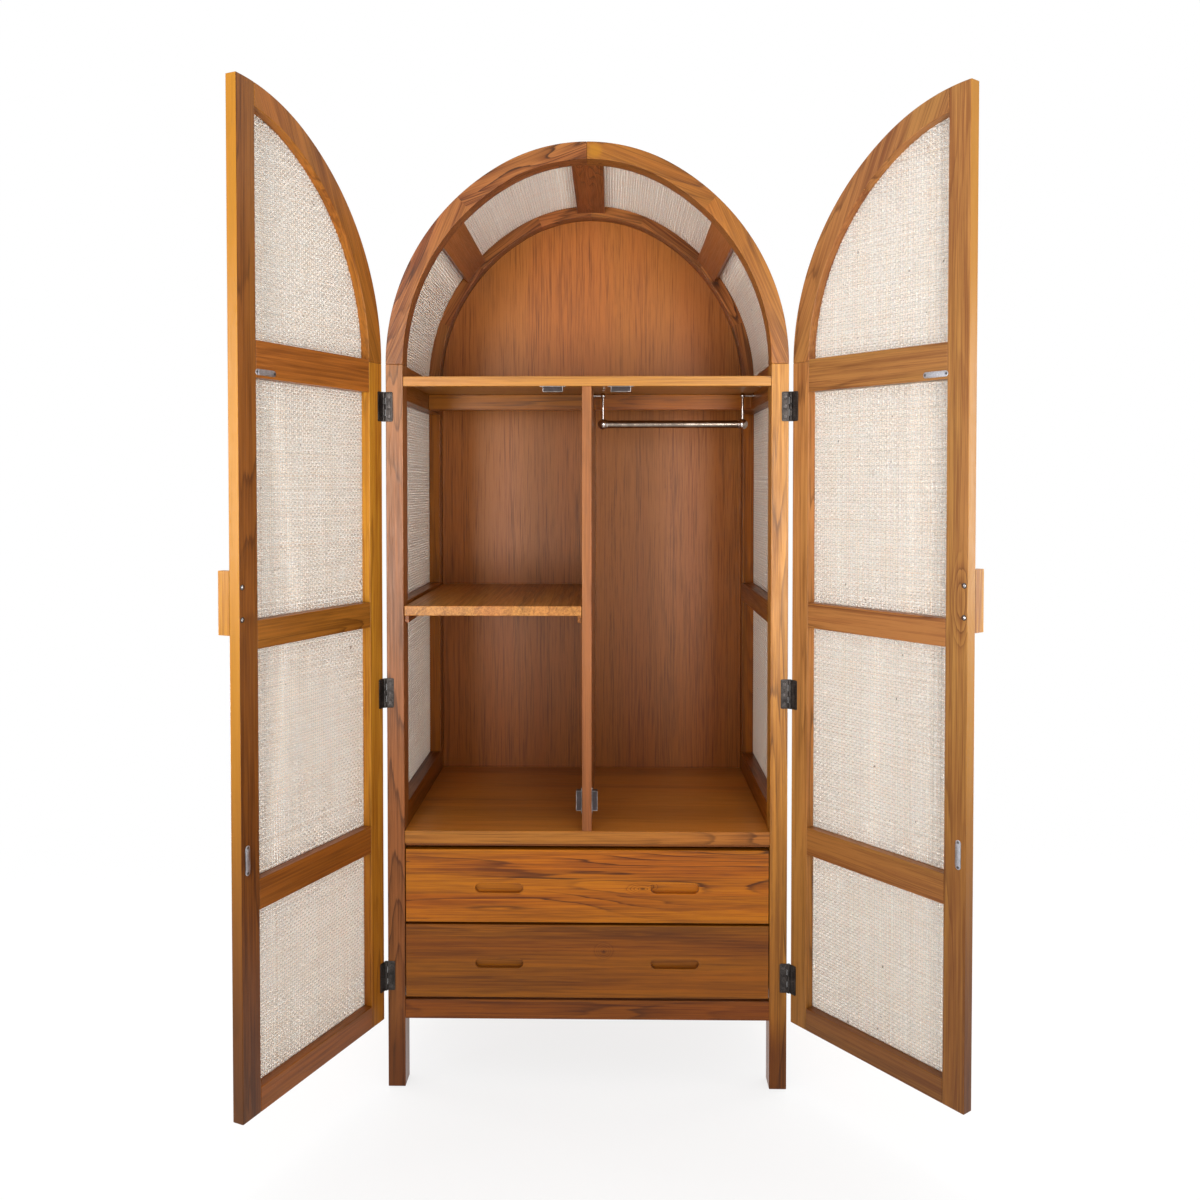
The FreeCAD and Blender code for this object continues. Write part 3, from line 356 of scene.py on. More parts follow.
from_patch = length_of(vector_maths("SUBTRACT", here, given["Gold Patch"]))
base = mixed_colours(banded(from_patch, 0.008, 0.022, 0.6, 0.0), base, given["Fresh"])

# Painted sheen: chosen faces are mixed towards the golden colour, fading and darkening low
# down as painted shade. Painted shade darkens every board towards the floor, most of all just above it, and
# reddens it there.
EDGE_SHADE_FROM, EDGE_SHADE_TO = 0.1, 1.0
FOOT_SHADE_FROM, FOOT_SHADE_TO = 0.07, 0.2
PAINTED_SHADE_GREEN, PAINTED_SHADE_BLUE = 1.4, 2.5
sheen_and_lighter_colour = mixed_colours(plus(banded(tone, 0, 1, 0.1, -0.1), given["Fresh Share"]), base, given["Fresh"])
up = add_node(tree, "ShaderNodeSeparateXYZ", Vector=here).outputs[2]
edge_shade = banded(up, EDGE_SHADE_FROM, EDGE_SHADE_TO, given["Fresh Low"])
base = mixed_colours(times(fresh, banded(edge_shade, 0.5, 1.0, 0.3, 1.0)), base, sheen_and_lighter_colour)
edge_shade = plus(times(fresh, maths(tree, "SUBTRACT", edge_shade, 1.0)), 1.0)
foot_shade = banded(up, FOOT_SHADE_FROM, FOOT_SHADE_TO, given["Foot Share"])
painted_shade = times(banded(up, given["Wax Low"], given["Wax High"], given["Wax Share"]), edge_shade, foot_shade)
painted_shade_tint = add_node(tree, "ShaderNodeCombineXYZ", X=painted_shade, Y=maths(tree, "POWER", painted_shade, PAINTED_SHADE_GREEN),
                    Z=maths(tree, "POWER", painted_shade, PAINTED_SHADE_BLUE)).outputs[0]
base = vector_maths("MULTIPLY", base, painted_shade_tint)
spread = times(maths(tree, "SUBTRACT", board, 0.5), given["Board Spread"])
level = times(plus(spread, 1.0), banded(pores, 0, 1, 1.0, 0.66))
scaled = add_node(tree, "ShaderNodeVectorMath", {"operation": "SCALE"}, i0=base, Scale=level)
height = maths(tree, "SUBTRACT", times(fibre, 0.5), times(pores, 0.6))
add_node(tree, "NodeGroupOutput", Color=scaled.outputs[0], Roughness=banded(fibre, 0.2, 0.8, 0.27, 0.40),
         Height=height)

SHEEN_TINT = (1.0, 0.90, 0.80, 1.0)


def teak(name, light, dark, streak="2E1407", **shares):
    """A teak finish: oiled, satin, with its own colours and figure."""
    material, nodes = new_material(name)
    wood = add_node(nodes, "ShaderNodeGroup", {"node_tree": teak_grain}, Light=linear(light),
                    Dark=linear(dark), Streak=linear(streak), **shares)
    bump = add_node(nodes, "ShaderNodeBump", Strength=0.35, Distance=0.0004, Height=wood.outputs["Height"])
    shader = add_node(nodes, "ShaderNodeBsdfPrincipled", Base_Color=wood.outputs["Color"],
                      Roughness=wood.outputs["Roughness"], Normal=bump.outputs[0], Specular_IOR_Level=0.27,
                      Specular_Tint=SHEEN_TINT)
    add_node(nodes, "ShaderNodeOutputMaterial", Surface=shader.outputs[0])
    return material


teak_frame = teak("teak_frame", "915111", "602D06")
teak_golden = teak("teak_golden", "B17724", "82470E", Streak_Share=0.35)

# Every wooden piece is planed and its edges are lightly eased. The boards of the frame
# are taken piece by piece, cleaned of loose corners and given that eased edge.
EASED = 0.0014
WOOD_CORNER = 32
MERGE = 1e-6
SLIVER = 1e-14
INSIDE_STEP = 2e-4
OVERHANG = 0.058
TIGHTENING = 0.118
carcass_low, carcass_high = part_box("left_front_post")[0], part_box("right_back_post")[1]
HALF = carcass_high.x
FRONT = carcass_low.y
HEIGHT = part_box("front_arch_left")[1].z
SHOULDER = HALF + OVERHANG
CROWN = SHOULDER - TIGHTENING
CROWN_CENTRE = HEIGHT - CROWN
SPRING = CROWN_CENTRE - math.sqrt(TIGHTENING ** 2 - OVERHANG ** 2)
SPLIT = math.acos(OVERHANG / TIGHTENING)
SIDES = {"left": -1, "right": 1}
LOG_LENGTH, LOG_SHIFT, LOG_DEPTH = 60, 0.05, (0.03, 0.16)


def shutting(body):
    """The turn that brings a door from the way it stands open to shut; none for others."""
    for joint in frame["joints"]:
        if joint["child"] == body and joint["type"] == "hinge":
            pivot = Matrix.Translation(Vector(joint["pos_m"]))
            angle = math.radians(joint["range_deg"][0])
            return pivot @ Matrix.Rotation(angle, 4, Vector(joint["axis"])) @ pivot.inverted()
    return Matrix.Identity(4)


def body_of(node):
    """The body that carries a piece: the carcass, a door, a drawer, a runner or a shelf."""
    return frame["nodes"][node]["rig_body"]


def numbers_of(rows, field, width=1, kind=int):
    """One field of a mesh's points, edges, corners or faces, as an array."""
    values = np.empty(len(rows) * width, kind)
    rows.foreach_get(field, values)
    return values if width == 1 else values.reshape(-1, width)


def boards_of(node, key=None):
    """Points and faces of a node's solids. key tells solids apart that touch, by a point inside."""
    mesh = frame["nodes"][node].data
    mesh.calc_loop_triangles()
    points = numbers_of(mesh.vertices, "co", 3, float)
    index, verts, faces = {}, [], []
    for triangle in numbers_of(mesh.loop_triangles, "vertices", 3):
        spots = points[triangle]
        normal = np.cross(spots[1] - spots[0], spots[2] - spots[0])
        length = np.linalg.norm(normal)
        if length < SLIVER:
            continue
        group = key(spots.mean(0) - normal / length * INSIDE_STEP) if key else 0
        face = []
        for spot in spots:
            name = (group, *np.round(spot / MERGE / 2).astype(int))
            if name not in index:
                index[name] = len(verts)
                verts.append(tuple(spot))
            face.append(index[name])
        if len(set(face)) == 3:
            faces.append(face)
    return verts, faces


def islands(mesh):
    """For each face of a mesh, the number of the separate solid that it belongs to."""
    parent = np.arange(len(mesh.vertices))
    edges = numbers_of(mesh.edges, "vertices", 2)
    while True:
        low = np.minimum(parent[edges[:, 0]], parent[edges[:, 1]])
        before = parent.copy()
        np.minimum.at(parent, edges[:, 0], low)
        np.minimum.at(parent, edges[:, 1], low)
        parent = parent[parent]
        if np.array_equal(before, parent):
            break
    first = numbers_of(mesh.polygons, "loop_start")
    loops = numbers_of(mesh.loops, "vertex_index")
    return np.unique(parent[loops[first]], return_inverse=True)[1]


def add_attribute(mesh, name, kind, domain, values):
    """Stores a value or a vector for each point or corner of a mesh."""
    field = "vector" if kind == "FLOAT_VECTOR" else "value"
    rows = mesh.attributes.new(name, kind, domain).data
    rows.foreach_set(field, np.asarray(values, np.float32).ravel())


def lay_grain(mesh, seed, turn, plank=None, along=None, fresh=None):
    """Gives each board its place in a log: along the grain, across it and into it. plank cuts a
    curved board into straight planks and returns each face's plank and grain angle. The last
    argument picks the faces mixed towards the golden colour: painted sheen on free edges, painted light on
    the floor shelf's top, and lighter shoulder ribs."""
    rng = np.random.default_rng(seed)
    matrix = np.array(turn)
    points = numbers_of(mesh.vertices, "co", 3, float) @ matrix[:3, :3].T + matrix[:3, 3]
    totals = numbers_of(mesh.polygons, "loop_total")
    face_of_loop = np.repeat(np.arange(len(totals)), totals)
    spots = points[numbers_of(mesh.loops, "vertex_index")]
    middles = np.zeros((len(totals), 3))
    np.add.at(middles, face_of_loop, spots)
    middles /= totals[:, None]
    solid = islands(mesh)
    grain = np.zeros((len(spots), 3))
    shade = np.zeros(len(spots))
    for number in range(solid.max() + 1):
        own_faces = solid == number
        own = own_faces[face_of_loop]
        low, high = spots[own].min(0), spots[own].max(0)
        order = list(np.argsort(low - high))
        if along is not None:
            order.remove(along)
            order.insert(0, along)
        planks = {0: (own, None)}
        if plank:
            numbers, angles = plank(middles)
            planks = {n: (own & (numbers == n)[face_of_loop], angles[n])
                      for n in np.unique(numbers[own_faces])}
        for chosen, angle in planks.values():
            log = spots[chosen] - (low + high) / 2
            if angle is None:
                log = log[:, order]
            else:
                tangent = np.array([-math.sin(angle), 0, math.cos(angle)])
                radial = np.array([math.cos(angle), 0, math.sin(angle)])
                log = np.stack([log @ tangent, log @ radial, log[:, 1]], 1)
            offset = (rng.uniform(0, LOG_LENGTH), rng.uniform(-LOG_SHIFT, LOG_SHIFT), rng.uniform(*LOG_DEPTH))
            grain[chosen] = log + offset
            shade[chosen] = rng.uniform(0, 1)
    if fresh:
        add_attribute(mesh, "fresh", "FLOAT", "CORNER", fresh(middles)[face_of_loop])
    add_attribute(mesh, "grain", "FLOAT_VECTOR", "CORNER", grain)
    add_attribute(mesh, "board", "FLOAT", "CORNER", shade)


def new_mesh(name, verts, faces=(), edges=()):
    """A mesh from points and the faces or edges between them."""
    mesh = bpy.data.meshes.new(name)
    mesh.from_pydata(verts, edges, faces)
    return mesh


def settled(piece):
    """The piece with its modifiers worked into a plain mesh."""
    graph = bpy.context.evaluated_depsgraph_get()
    mesh = bpy.data.meshes.new_from_object(piece.evaluated_get(graph), preserve_all_data_layers=True,
                                           depsgraph=graph)
    piece.modifiers.clear()
    piece.data = mesh
    mesh.name = piece.name
    return piece


def bevelled(piece, width, degrees, harden=False):
    """The piece with its edges sharper than an angle eased, worked into a plain mesh."""
    bevel = piece.modifiers.new("eased_edges", "BEVEL")
    bevel.width = width
    bevel.segments = 2
    bevel.limit_method = "ANGLE"
    bevel.angle_limit = math.radians(degrees)
    bevel.harden_normals = harden
    return settled(piece)


def eased(name, verts, faces, edge=EASED, seams=()):
    """A mesh with flat faces made whole and its sharp edges eased, as a new object. seams are the
    planes of joints between boards that lie flush, as points and directions."""
    mesh = new_mesh(name, verts, faces)
    work = bmesh.new()
    work.from_mesh(mesh)
    bmesh.ops.dissolve_limit(work, angle_limit=0.01, verts=work.verts, edges=work.edges)
    for point, direction in seams:
        bmesh.ops.bisect_plane(work, geom=[*work.verts, *work.edges, *work.faces], plane_co=point,
                               plane_no=direction)
    for face in work.faces:
        face.smooth = True
    work.to_mesh(mesh)
    work.free()
    return bevelled(in_scene(name, mesh), edge, WOOD_CORNER, harden=True)


def dressed(piece, material, slot, body, *nodes):
    """Gives a finished piece its material, its body and the frame pieces it stands for."""
    piece.data.materials.clear()
    piece.data.materials.append(material)
    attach(piece, body)
    if nodes:
        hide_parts(*nodes)
    return piece


def wooden(node, material, seed, slot="teak_frame", key=None, plank=None, along=None, edge=EASED,
           seams=(), fresh=None):
    """A wooden node of the frame, its edges eased and its grain laid."""
    piece = eased(node + "_wood", *boards_of(node, key), edge=edge, seams=seams)
    lay_grain(piece.data, seed, shutting(body_of(node)), plank, along, fresh)
    return dressed(piece, material, slot, body_of(node), node)


def box_board(low, high):
    """Points and faces of one plain board."""
    xs, ys, zs = zip(low, high)
    verts = [(x, y, z) for x in xs for y in ys for z in zs]
    return verts, [(0, 1, 3, 2), (4, 6, 7, 5), (0, 4, 5, 1), (2, 3, 7, 6), (0, 2, 6, 4), (1, 5, 7, 3)]


# Four square posts run from the floor to the springing. The front pair carries the doors.
# Their screw holes are filled by the hinge screws, so each post is one whole board here.
# The front posts darken just above the floor as painted shade, and the left post's pinker colour is partly
# painted sheen.
teak_pink_sheen = teak("teak_pinkish", "9C6133", "6C3E18", Ring_Share=0.45, Streak_Share=0.3, Foot_Share=0.6)
teak_pale = teak("teak_pale", "C48738", "8E5A20", Streak_Share=0.3, Foot_Share=0.42)
POST_WOODS = {
    "left_front": teak_pink_sheen, "right_front": teak_pale, "left_back": teak_frame, "right_back": teak_frame,
}
for number, (name, wood) in enumerate(POST_WOODS.items()):
    node = name + "_post"
    piece = eased(node + "_wood", *box_board(*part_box(node)))
    lay_grain(piece.data, 11 + number, shutting("carcass"))
    dressed(piece, wood, "teak_frame", "carcass", node)

# The arched rings are sawn from short planks joined end to end, two to a half, which is
# why the grain turns in steps round the arch. The left half is curly, the right golden.
FRONT_JOINTS = np.radians((0, 47, 90))
BACK_JOINTS = np.radians((0, 20, 42, 66, 90))
GOLD_PATCH = (0.018, FRONT, HEIGHT - 0.020)
BURL = (0.018, FRONT + 0.15, HEIGHT - 0.015)
teak_curly = teak("teak_curly", "985C2F", "5F2D0F", "3A1C0C", Ring_Scale=14.0, Ring_Count=24.0,
                  Ring_Share=0.6, Line_Share=1.0, Streak_Share=0.6)
teak_ring = teak("teak_ring", "945B20", "67380C", Ring_Share=0.45, Gold_Patch=GOLD_PATCH)
teak_segments = teak("teak_segments", "A06230", "603010", Ring_Share=0.5, Line_Share=0.95,
                     Streak_Share=0.6, Board_Spread=0.5)
teak_burl = teak("teak_burl", "925224", "5A2C10", "2A1206", Ring_Scale=20.0, Ring_Count=22.0,
                 Line_Share=0.7, Knot=BURL, Knot_Reach=(0.022, 0.07, 0.03), Fresh=linear("B66F35"),
                 Fresh_Share=0.6)
# The shoulder ribs, away from the middle, are mixed towards a lighter golden colour than the crown rib.
SHOULDER_RIBS_FROM = 0.1


def sawn(joints):
    """For an arch sawn at these turns: a function that gives each face's plank and the planks'
    directions outwards, and the planes of the joints."""
    halves = (joints[:-1] + joints[1:]) / 2

    def planks(middles):
        """The plank of each face, counted from the springing on each side."""
        turns = np.arctan2(np.maximum(middles[:, 2] - SPRING, 0), np.abs(middles[:, 0]) + OVERHANG)
        numbers = np.searchsorted(joints[1:-1], turns) + len(halves) * (middles[:, 0] > 0)
        return numbers, [*(math.pi - halves), *halves]

    planes = [((-side * OVERHANG, 0, SPRING), (-side * math.sin(turn), 0, math.cos(turn)))
              for side in SIDES.values() for turn in joints[1:-1]]
    return planks, planes


front_planks, front_joints = sawn(FRONT_JOINTS)
back_planks, back_joints = sawn(BACK_JOINTS)
wooden("front_arch_left", teak_curly, 21, plank=front_planks, seams=front_joints)
wooden("front_arch_right", teak_ring, 22, plank=front_planks, seams=front_joints)
wooden("back_arch", teak_segments, 23, key=lambda p: p[0] > 0, plank=back_planks, seams=back_joints)
wooden("arch_ribs", teak_burl, 24, along=1, fresh=lambda m: np.abs(m[:, 0]) > SHOULDER_RIBS_FROM)

# Side walls: rails between the posts, and a rail at the foot in front and behind. The
# back is one thin panel of straight fine figure, its grain upright.
# The back's painted shade reaches up to just under the top shelf, darkening the compartments where shade
# falls in them.
teak_back = teak("teak_back", "A66229", "6E3A13", "6A3A16", Ring_Scale=16.0, Ring_Count=34.0,
                 Ring_Share=0.1, Tone_Share=0.25, Line_Share=0.08, Streak_Share=0.06, Fibre_Share=0.8,
                 Wax_Low=0.35, Wax_High=1.85, Wax_Share=0.62)
wooden("left_side_rails", teak_frame, 31)
wooden("right_side_rails", teak_frame, 32)
wooden("back_panel", teak_back, 33, "teak_panel", along=2)
wooden("bottom_rails", teak_frame, 34)

# Woven cane: flat strands of peeled rattan in a close plain weave, held in grooves of the
# frames. The strands are laid over and under each other, then given their crowned section.
STRAND_PITCH = 0.0060
STRAND_WIDTH = 0.0052
STRAND_THICKNESS = 0.0010
STRAND_RISE = 0.00060
STRAND_WANDER = 0.00025
GROOVE = 0.004
LOOSE_OPENING = 0.0030
LOOSE_WIDTH = 0.014
LOOSE_FADE = 0.05
TINT_SPREAD, DARK_STRAND, DARK_CHANCE = 0.16, 0.12, 0.05

strand_tree = bpy.data.node_groups.new("crowned_strands", "GeometryNodeTree")
add_sockets(strand_tree, (("Geometry", "NodeSocketGeometry"), ("Strand Width", "NodeSocketFloat"),
                          ("Strand Thickness", "NodeSocketFloat"), ("Finish", "NodeSocketMaterial")),
            (("Geometry", "NodeSocketGeometry"),))
tree = strand_tree
given = add_node(tree, "NodeGroupInput").outputs
lines = add_node(tree, "GeometryNodeMeshToCurve", Mesh=given["Geometry"])
level = add_node(tree, "GeometryNodeSetCurveNormal", {"mode": "Z_UP"}, Curve=lines.outputs[0])
half_thickness = maths(tree, "MULTIPLY", given["Strand Thickness"], 0.5)
section = add_node(tree, "GeometryNodeCurvePrimitiveQuadrilateral", {"mode": "KITE"},
                   Width=given["Strand Width"], Bottom_Height=half_thickness, Top_Height=half_thickness)
# Each point of the section stores how far it lies towards the strand's edge, for the painted shade there.
spot = add_node(tree, "GeometryNodeInputPosition").outputs[0]
sideways = add_node(tree, "ShaderNodeSeparateXYZ", Vector=spot).outputs[0]
edge_share = maths(tree, "DIVIDE", maths(tree, "ABSOLUTE", sideways), given["Strand Width"])
marked = add_node(tree, "GeometryNodeStoreNamedAttribute", {"data_type": "FLOAT", "domain": "POINT"},
                  Geometry=section.outputs[0], Name="strand_edge")
tree.links.new(edge_share, next(i for i in marked.inputs if i.name == "Value" and i.enabled))
swept = add_node(tree, "GeometryNodeCurveToMesh", Curve=level.outputs[0], Profile_Curve=marked.outputs[0],
                 Fill_Caps=True)
whole = add_node(tree, "GeometryNodeRealizeInstances", Geometry=swept.outputs[0])
soft = add_node(tree, "GeometryNodeSetShadeSmooth", Geometry=whole.outputs[0], Shade_Smooth=True)
coated = add_node(tree, "GeometryNodeSetMaterial", Geometry=soft.outputs[0], Material=given["Finish"])
add_node(tree, "NodeGroupOutput", Geometry=coated.outputs[0])

# The cane's finish: pale straw with a mottle from strand to strand, dark flecks, and painted
# shade along each strand's edges, where the gaps between strands fall in shadow. Light passes through it.
CANE_TONES = ((0.12, "FFE8D5"), (0.45, "FFD9C0"), (0.8, "E8B698"), (1.0, "B07C56"))
CANE_FLECK = "5A3A22"
CANE_GAP_SHADE = "A87A58"
CANE_GLOW = 1.0
CANE_DEPTH = 0.006
cane, tree = new_material("woven_cane")
strand_tint = add_node(tree, "ShaderNodeAttribute", {"attribute_name": "tint"}).outputs["Fac"]
place = add_node(tree, "ShaderNodeTexCoord").outputs["Object"]
mottle, fine, spots = [
    add_node(tree, "ShaderNodeTexNoise", Vector=place, Scale=scale, Detail=detail, Roughness=rough).outputs[0]
    for scale, detail, rough in ((22.0, 4.0, 0.6), (700.0, 2.0, 0.6), (95.0, 1.0, 0.5))]
share = maths(tree, "MULTIPLY_ADD", mottle, 0.4, strand_tint)
share = maths(tree, "MULTIPLY_ADD", fine, 0.12, share)
tones = add_node(tree, "ShaderNodeValToRGB", Fac=share)
ramp = tones.color_ramp.elements
for number, (spot, code) in enumerate(CANE_TONES):
    element = ramp[number] if number < 2 else ramp.new(spot)
    element.position = spot
    element.color = linear(code)
fleck = ramped(tree, spots, 0.775, 0.80, 0.0, 0.8, "LINEAR")
coloured = blended(tree, fleck, tones.outputs[0], linear(CANE_FLECK))
# Painted shade along the edges of each strand, where the gaps between strands fall in shadow.
strand_edge = add_node(tree, "ShaderNodeAttribute", {"attribute_name": "strand_edge"}).outputs["Fac"]
coloured = blended(tree, ramped(tree, strand_edge, 0.26, 0.48, 0.0, 0.7), coloured, linear(CANE_GAP_SHADE))
bump = add_node(tree, "ShaderNodeBump", Strength=0.15, Distance=0.0003, Height=fine)
shader = add_node(tree, "ShaderNodeBsdfPrincipled", Base_Color=coloured, Roughness=0.6,
                  Normal=bump.outputs[0], Specular_IOR_Level=0.3, Subsurface_Weight=CANE_GLOW,
                  Subsurface_Radius=(1.0, 0.9, 0.8), Subsurface_Scale=CANE_DEPTH)
add_node(tree, "ShaderNodeOutputMaterial", Surface=shader.outputs[0])


def outward(mesh):
    """Turns the faces of a mesh outwards."""
    work = bmesh.new()
    work.from_mesh(mesh)
    bmesh.ops.recalc_face_normals(work, faces=work.faces)
    work.to_mesh(mesh)
    work.free()


def grown(piece, group, values):
    """Runs a geometry node group on a piece, its inputs set by their sockets' identifiers."""
    modifier = piece.modifiers.new(group.name, "NODES")
    modifier.node_group = group
    for socket in group.interface.items_tree:
        if socket.in_out == "INPUT" and socket.name in values:
            modifier[socket.identifier] = values[socket.name]
    return settled(piece)


def woven(name, reach_a, reach_b, place, body, node, seed, inside=None, loose=()):
    """A woven panel: strands over and under in a flat layout, then put in place. place maps the
    layout's two directions and its height to points of the wardrobe. loose gives lines, from a
    spot at the foot to one at the top, along which the upright strands have slipped apart."""
    rng = np.random.default_rng(seed)
    (low_a, high_a), (low_b, high_b) = [(r[0] - GROOVE, r[1] + GROOVE) for r in (reach_a, reach_b)]
    count_a, count_b = [max(2, round((h - l) / STRAND_PITCH)) for l, h in ((low_a, high_a), (low_b, high_b))]
    spots_a, spots_b = np.linspace(low_a, high_a, count_a), np.linspace(low_b, high_b, count_b)
    verts, edges, tints = [], [], []
    for along, (own, other) in enumerate(((spots_a, spots_b), (spots_b, spots_a))):
        for i, fixed in enumerate(own):
            tint = rng.uniform(0, TINT_SPREAD) + (DARK_STRAND if rng.random() < DARK_CHANCE else 0)
            shift = rng.uniform(-STRAND_WANDER, STRAND_WANDER)
            last = None
            for j, run in enumerate(other):
                a, b = (fixed + shift, run) if along == 0 else (run, fixed + shift)
                for foot, top, opening in loose:
                    line = low_a + (high_a - low_a) * (foot + (top - foot) * (b - low_b) / (high_b - low_b))
                    fade = min(1.0, (a - low_a) / LOOSE_FADE, (high_a - a) / LOOSE_FADE)
                    a += opening * LOOSE_OPENING * math.tanh((a - line) / LOOSE_WIDTH) * max(0.0, fade)
                if inside and not inside(a, b):
                    last = None
                    continue
                rise = STRAND_RISE * (1 if (i + j + along) % 2 else -1)
                verts.append((a, b, rise))
                tints.append(tint)
                if last is not None:
                    edges.append((last, len(verts) - 1))
                last = len(verts) - 1
    mesh = new_mesh(name, verts, edges=edges)
    add_attribute(mesh, "tint", "FLOAT", "POINT", tints)
    values = {"Strand Width": STRAND_WIDTH, "Strand Thickness": STRAND_THICKNESS, "Finish": cane}
    piece = grown(in_scene(name, mesh), strand_tree, values)
    placed = place(numbers_of(piece.data.vertices, "co", 3, float))
    piece.data.vertices.foreach_set("co", placed.astype(np.float32).ravel())
    outward(piece.data)
    return dressed(piece, cane, "cane", body, node)


def panels_of(node):
    """Corners of each separate sheet of a node, with its door shut."""
    turn = shutting(body_of(node))
    mesh = new_mesh(node + "_sheets", *boards_of(node))
    solid = islands(mesh)
    found = []
    for number in range(solid.max() + 1):
        used = {v for face, n in zip(mesh.polygons, solid) if n == number for v in face.vertices}
        spots = np.array([turn @ mesh.vertices[v].co for v in used])
        found.append((spots.min(0), spots.max(0)))
    return sorted(found, key=lambda box: (round(box[0][0], 3), box[0][2]))


for number, (low, high) in enumerate(panels_of("side_cane")):
    middle = (low[0] + high[0]) / 2
    woven("side_weave_%d" % number, (low[1], high[1]), (low[2], high[2]),
          lambda p, x=middle: np.stack([x + p[:, 2], p[:, 0], p[:, 1]], 1), "carcass", "side_cane",
          41 + number, loose=((0.2, 0.3, 0.7),))


def around(p, side, inset):
    """From a length along the arch, a depth and a height off the sheet to the vault."""
    turning = (SHOULDER - inset) * SPLIT
    on_shoulder = p[:, 0] <= turning
    turn = np.where(on_shoulder, p[:, 0] / (SHOULDER - inset), SPLIT + (p[:, 0] - turning) / (CROWN - inset))
    reach = np.where(on_shoulder, SHOULDER, CROWN) - inset + p[:, 2]
    x = np.where(on_shoulder, -OVERHANG, 0) + reach * np.cos(turn)
    z = np.where(on_shoulder, SPRING, CROWN_CENTRE) + reach * np.sin(turn)
    return np.stack([side * x, p[:, 1], z], 1)


CANE_INSET = 0.009
RIB_TURN = math.radians(40)
RIB_HALF = 0.037
vault_low, vault_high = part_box("arch_cane")
inner_shoulder = SHOULDER - CANE_INSET
crown_length = inner_shoulder * SPLIT + (CROWN - CANE_INSET) * (math.pi / 2 - SPLIT)
rib_middle = inner_shoulder * RIB_TURN
bays = ((0, rib_middle - RIB_HALF), (rib_middle + RIB_HALF, crown_length - RIB_HALF))
for side_name, side in SIDES.items():
    for number, bay in enumerate(bays):
        woven("vault_weave_%s_%d" % (side_name, number), bay, (vault_low.y, vault_high.y),
              lambda p, side=side: around(p, side, CANE_INSET), "carcass", "arch_cane",
              51 + number + 5 * side, loose=((0.9, 0.9, 0.8),))

# Top shelf, its bar, the floor shelf with its strip, the notched divider, and the loose
# shelf on two cleats: wide boards with a straight plain figure.
LIP_DEPTH = 0.022
lip_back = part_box("magnetic_catches")[0].y + LIP_DEPTH
teak_shelf = teak("teak_shelf", "BB7C3A", "804D1B", Ring_Scale=6.0, Ring_Share=0.35, Streak_Share=0.3)
teak_lip = teak("teak_lip", "A56D30", "7F4E20", Ring_Scale=6.0, Ring_Share=0.3, Streak_Share=0.15)
teak_divider = teak("teak_divider", "9A5D32", "6E3C1B", Ring_Scale=6.0, Ring_Share=0.3, Streak_Share=0.2)
wooden("top_shelf", teak_lip, 61, "teak_panel", key=lambda p: p[1] > lip_back)
wooden("top_shelf_bar", teak_frame, 62)
# The floor shelf's top face is mixed towards a lighter colour as painted light, and the shelf darkens towards
# the floor as painted shade.
teak_floor = teak("teak_floor", "B0702E", "7A4818", Ring_Scale=6.0, Ring_Share=0.35, Streak_Share=0.3,
                  Wax_Share=0.55, Wax_High=0.95, Fresh=linear("E09240"), Fresh_Share=0.5)
top_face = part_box("floor_shelf")[1].z - 0.0003
wooden("floor_shelf", teak_floor, 63, "teak_panel", fresh=lambda m: m[:, 2] > top_face)
wooden("drawer_strip", teak_frame, 64)
wooden("divider", teak_divider, 65, "teak_panel")
wooden("shelf_cleats", teak_frame, 66)
wooden("mid_shelf", teak_shelf, 67, "teak_panel")

# Two drawers: solid fronts with routed finger slots, plain boxes behind them. The upper
# front is two boards glued edge to edge, golden with bold dark streaks and a curl beside a
# slot; the lower one is plain brown with a small knot in the middle.
BOX_INNER = 0.3673
FRONT_EASED = 0.0018
upper_low, upper_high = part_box("upper_drawer_front")
lower_low, lower_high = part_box("lower_drawer_front")
GLUE_LINE = upper_low.z + 0.38 * (upper_high.z - upper_low.z)
CURL = (0.126, FRONT, (upper_low.z + upper_high.z) / 2 - 0.005)
KNOT = (0.038, FRONT, lower_low.z + 0.64 * (lower_high.z - lower_low.z))
FRONT_WOODS = {
    "upper_drawer": teak("teak_streaked", "CA7709", "894705", "301204", Ring_Scale=8.0, Ring_Count=22.0,
                         Line_Share=0.85, Streak_Share=0.8, Knot=CURL, Knot_Reach=(0.016, 0.03, 0.006)),
    "lower_drawer": teak("teak_plain", "985A0A", "683904", "301204", Ring_Scale=6.0, Line_Share=0.35,
                         Streak_Share=0.3, Knot=KNOT, Knot_Reach=(0.009, 0.03, 0.008)),
}


def two_boards(middles):
    """Which of the two glued boards each face belongs to."""
    return (middles[:, 2] > GLUE_LINE).astype(int), {0: None, 1: None}


wooden("runner_spacers", teak_frame, 71)
for number, (name, wood) in enumerate(FRONT_WOODS.items()):
    glued = name == "upper_drawer"
    wooden(name + "_front", wood, 72 + number, "teak_fronts", plank=two_boards if glued else None,
           edge=FRONT_EASED, seams=[((0, 0, GLUE_LINE), (0, 0, 1))] if glued else ())
    wooden(name + "_box", teak_shelf, 74 + number,
           key=lambda p: int(p[0] > BOX_INNER) - int(p[0] < -BOX_INNER))
    wooden(name + "_bottom", teak_shelf, 76 + number, "teak_panel")

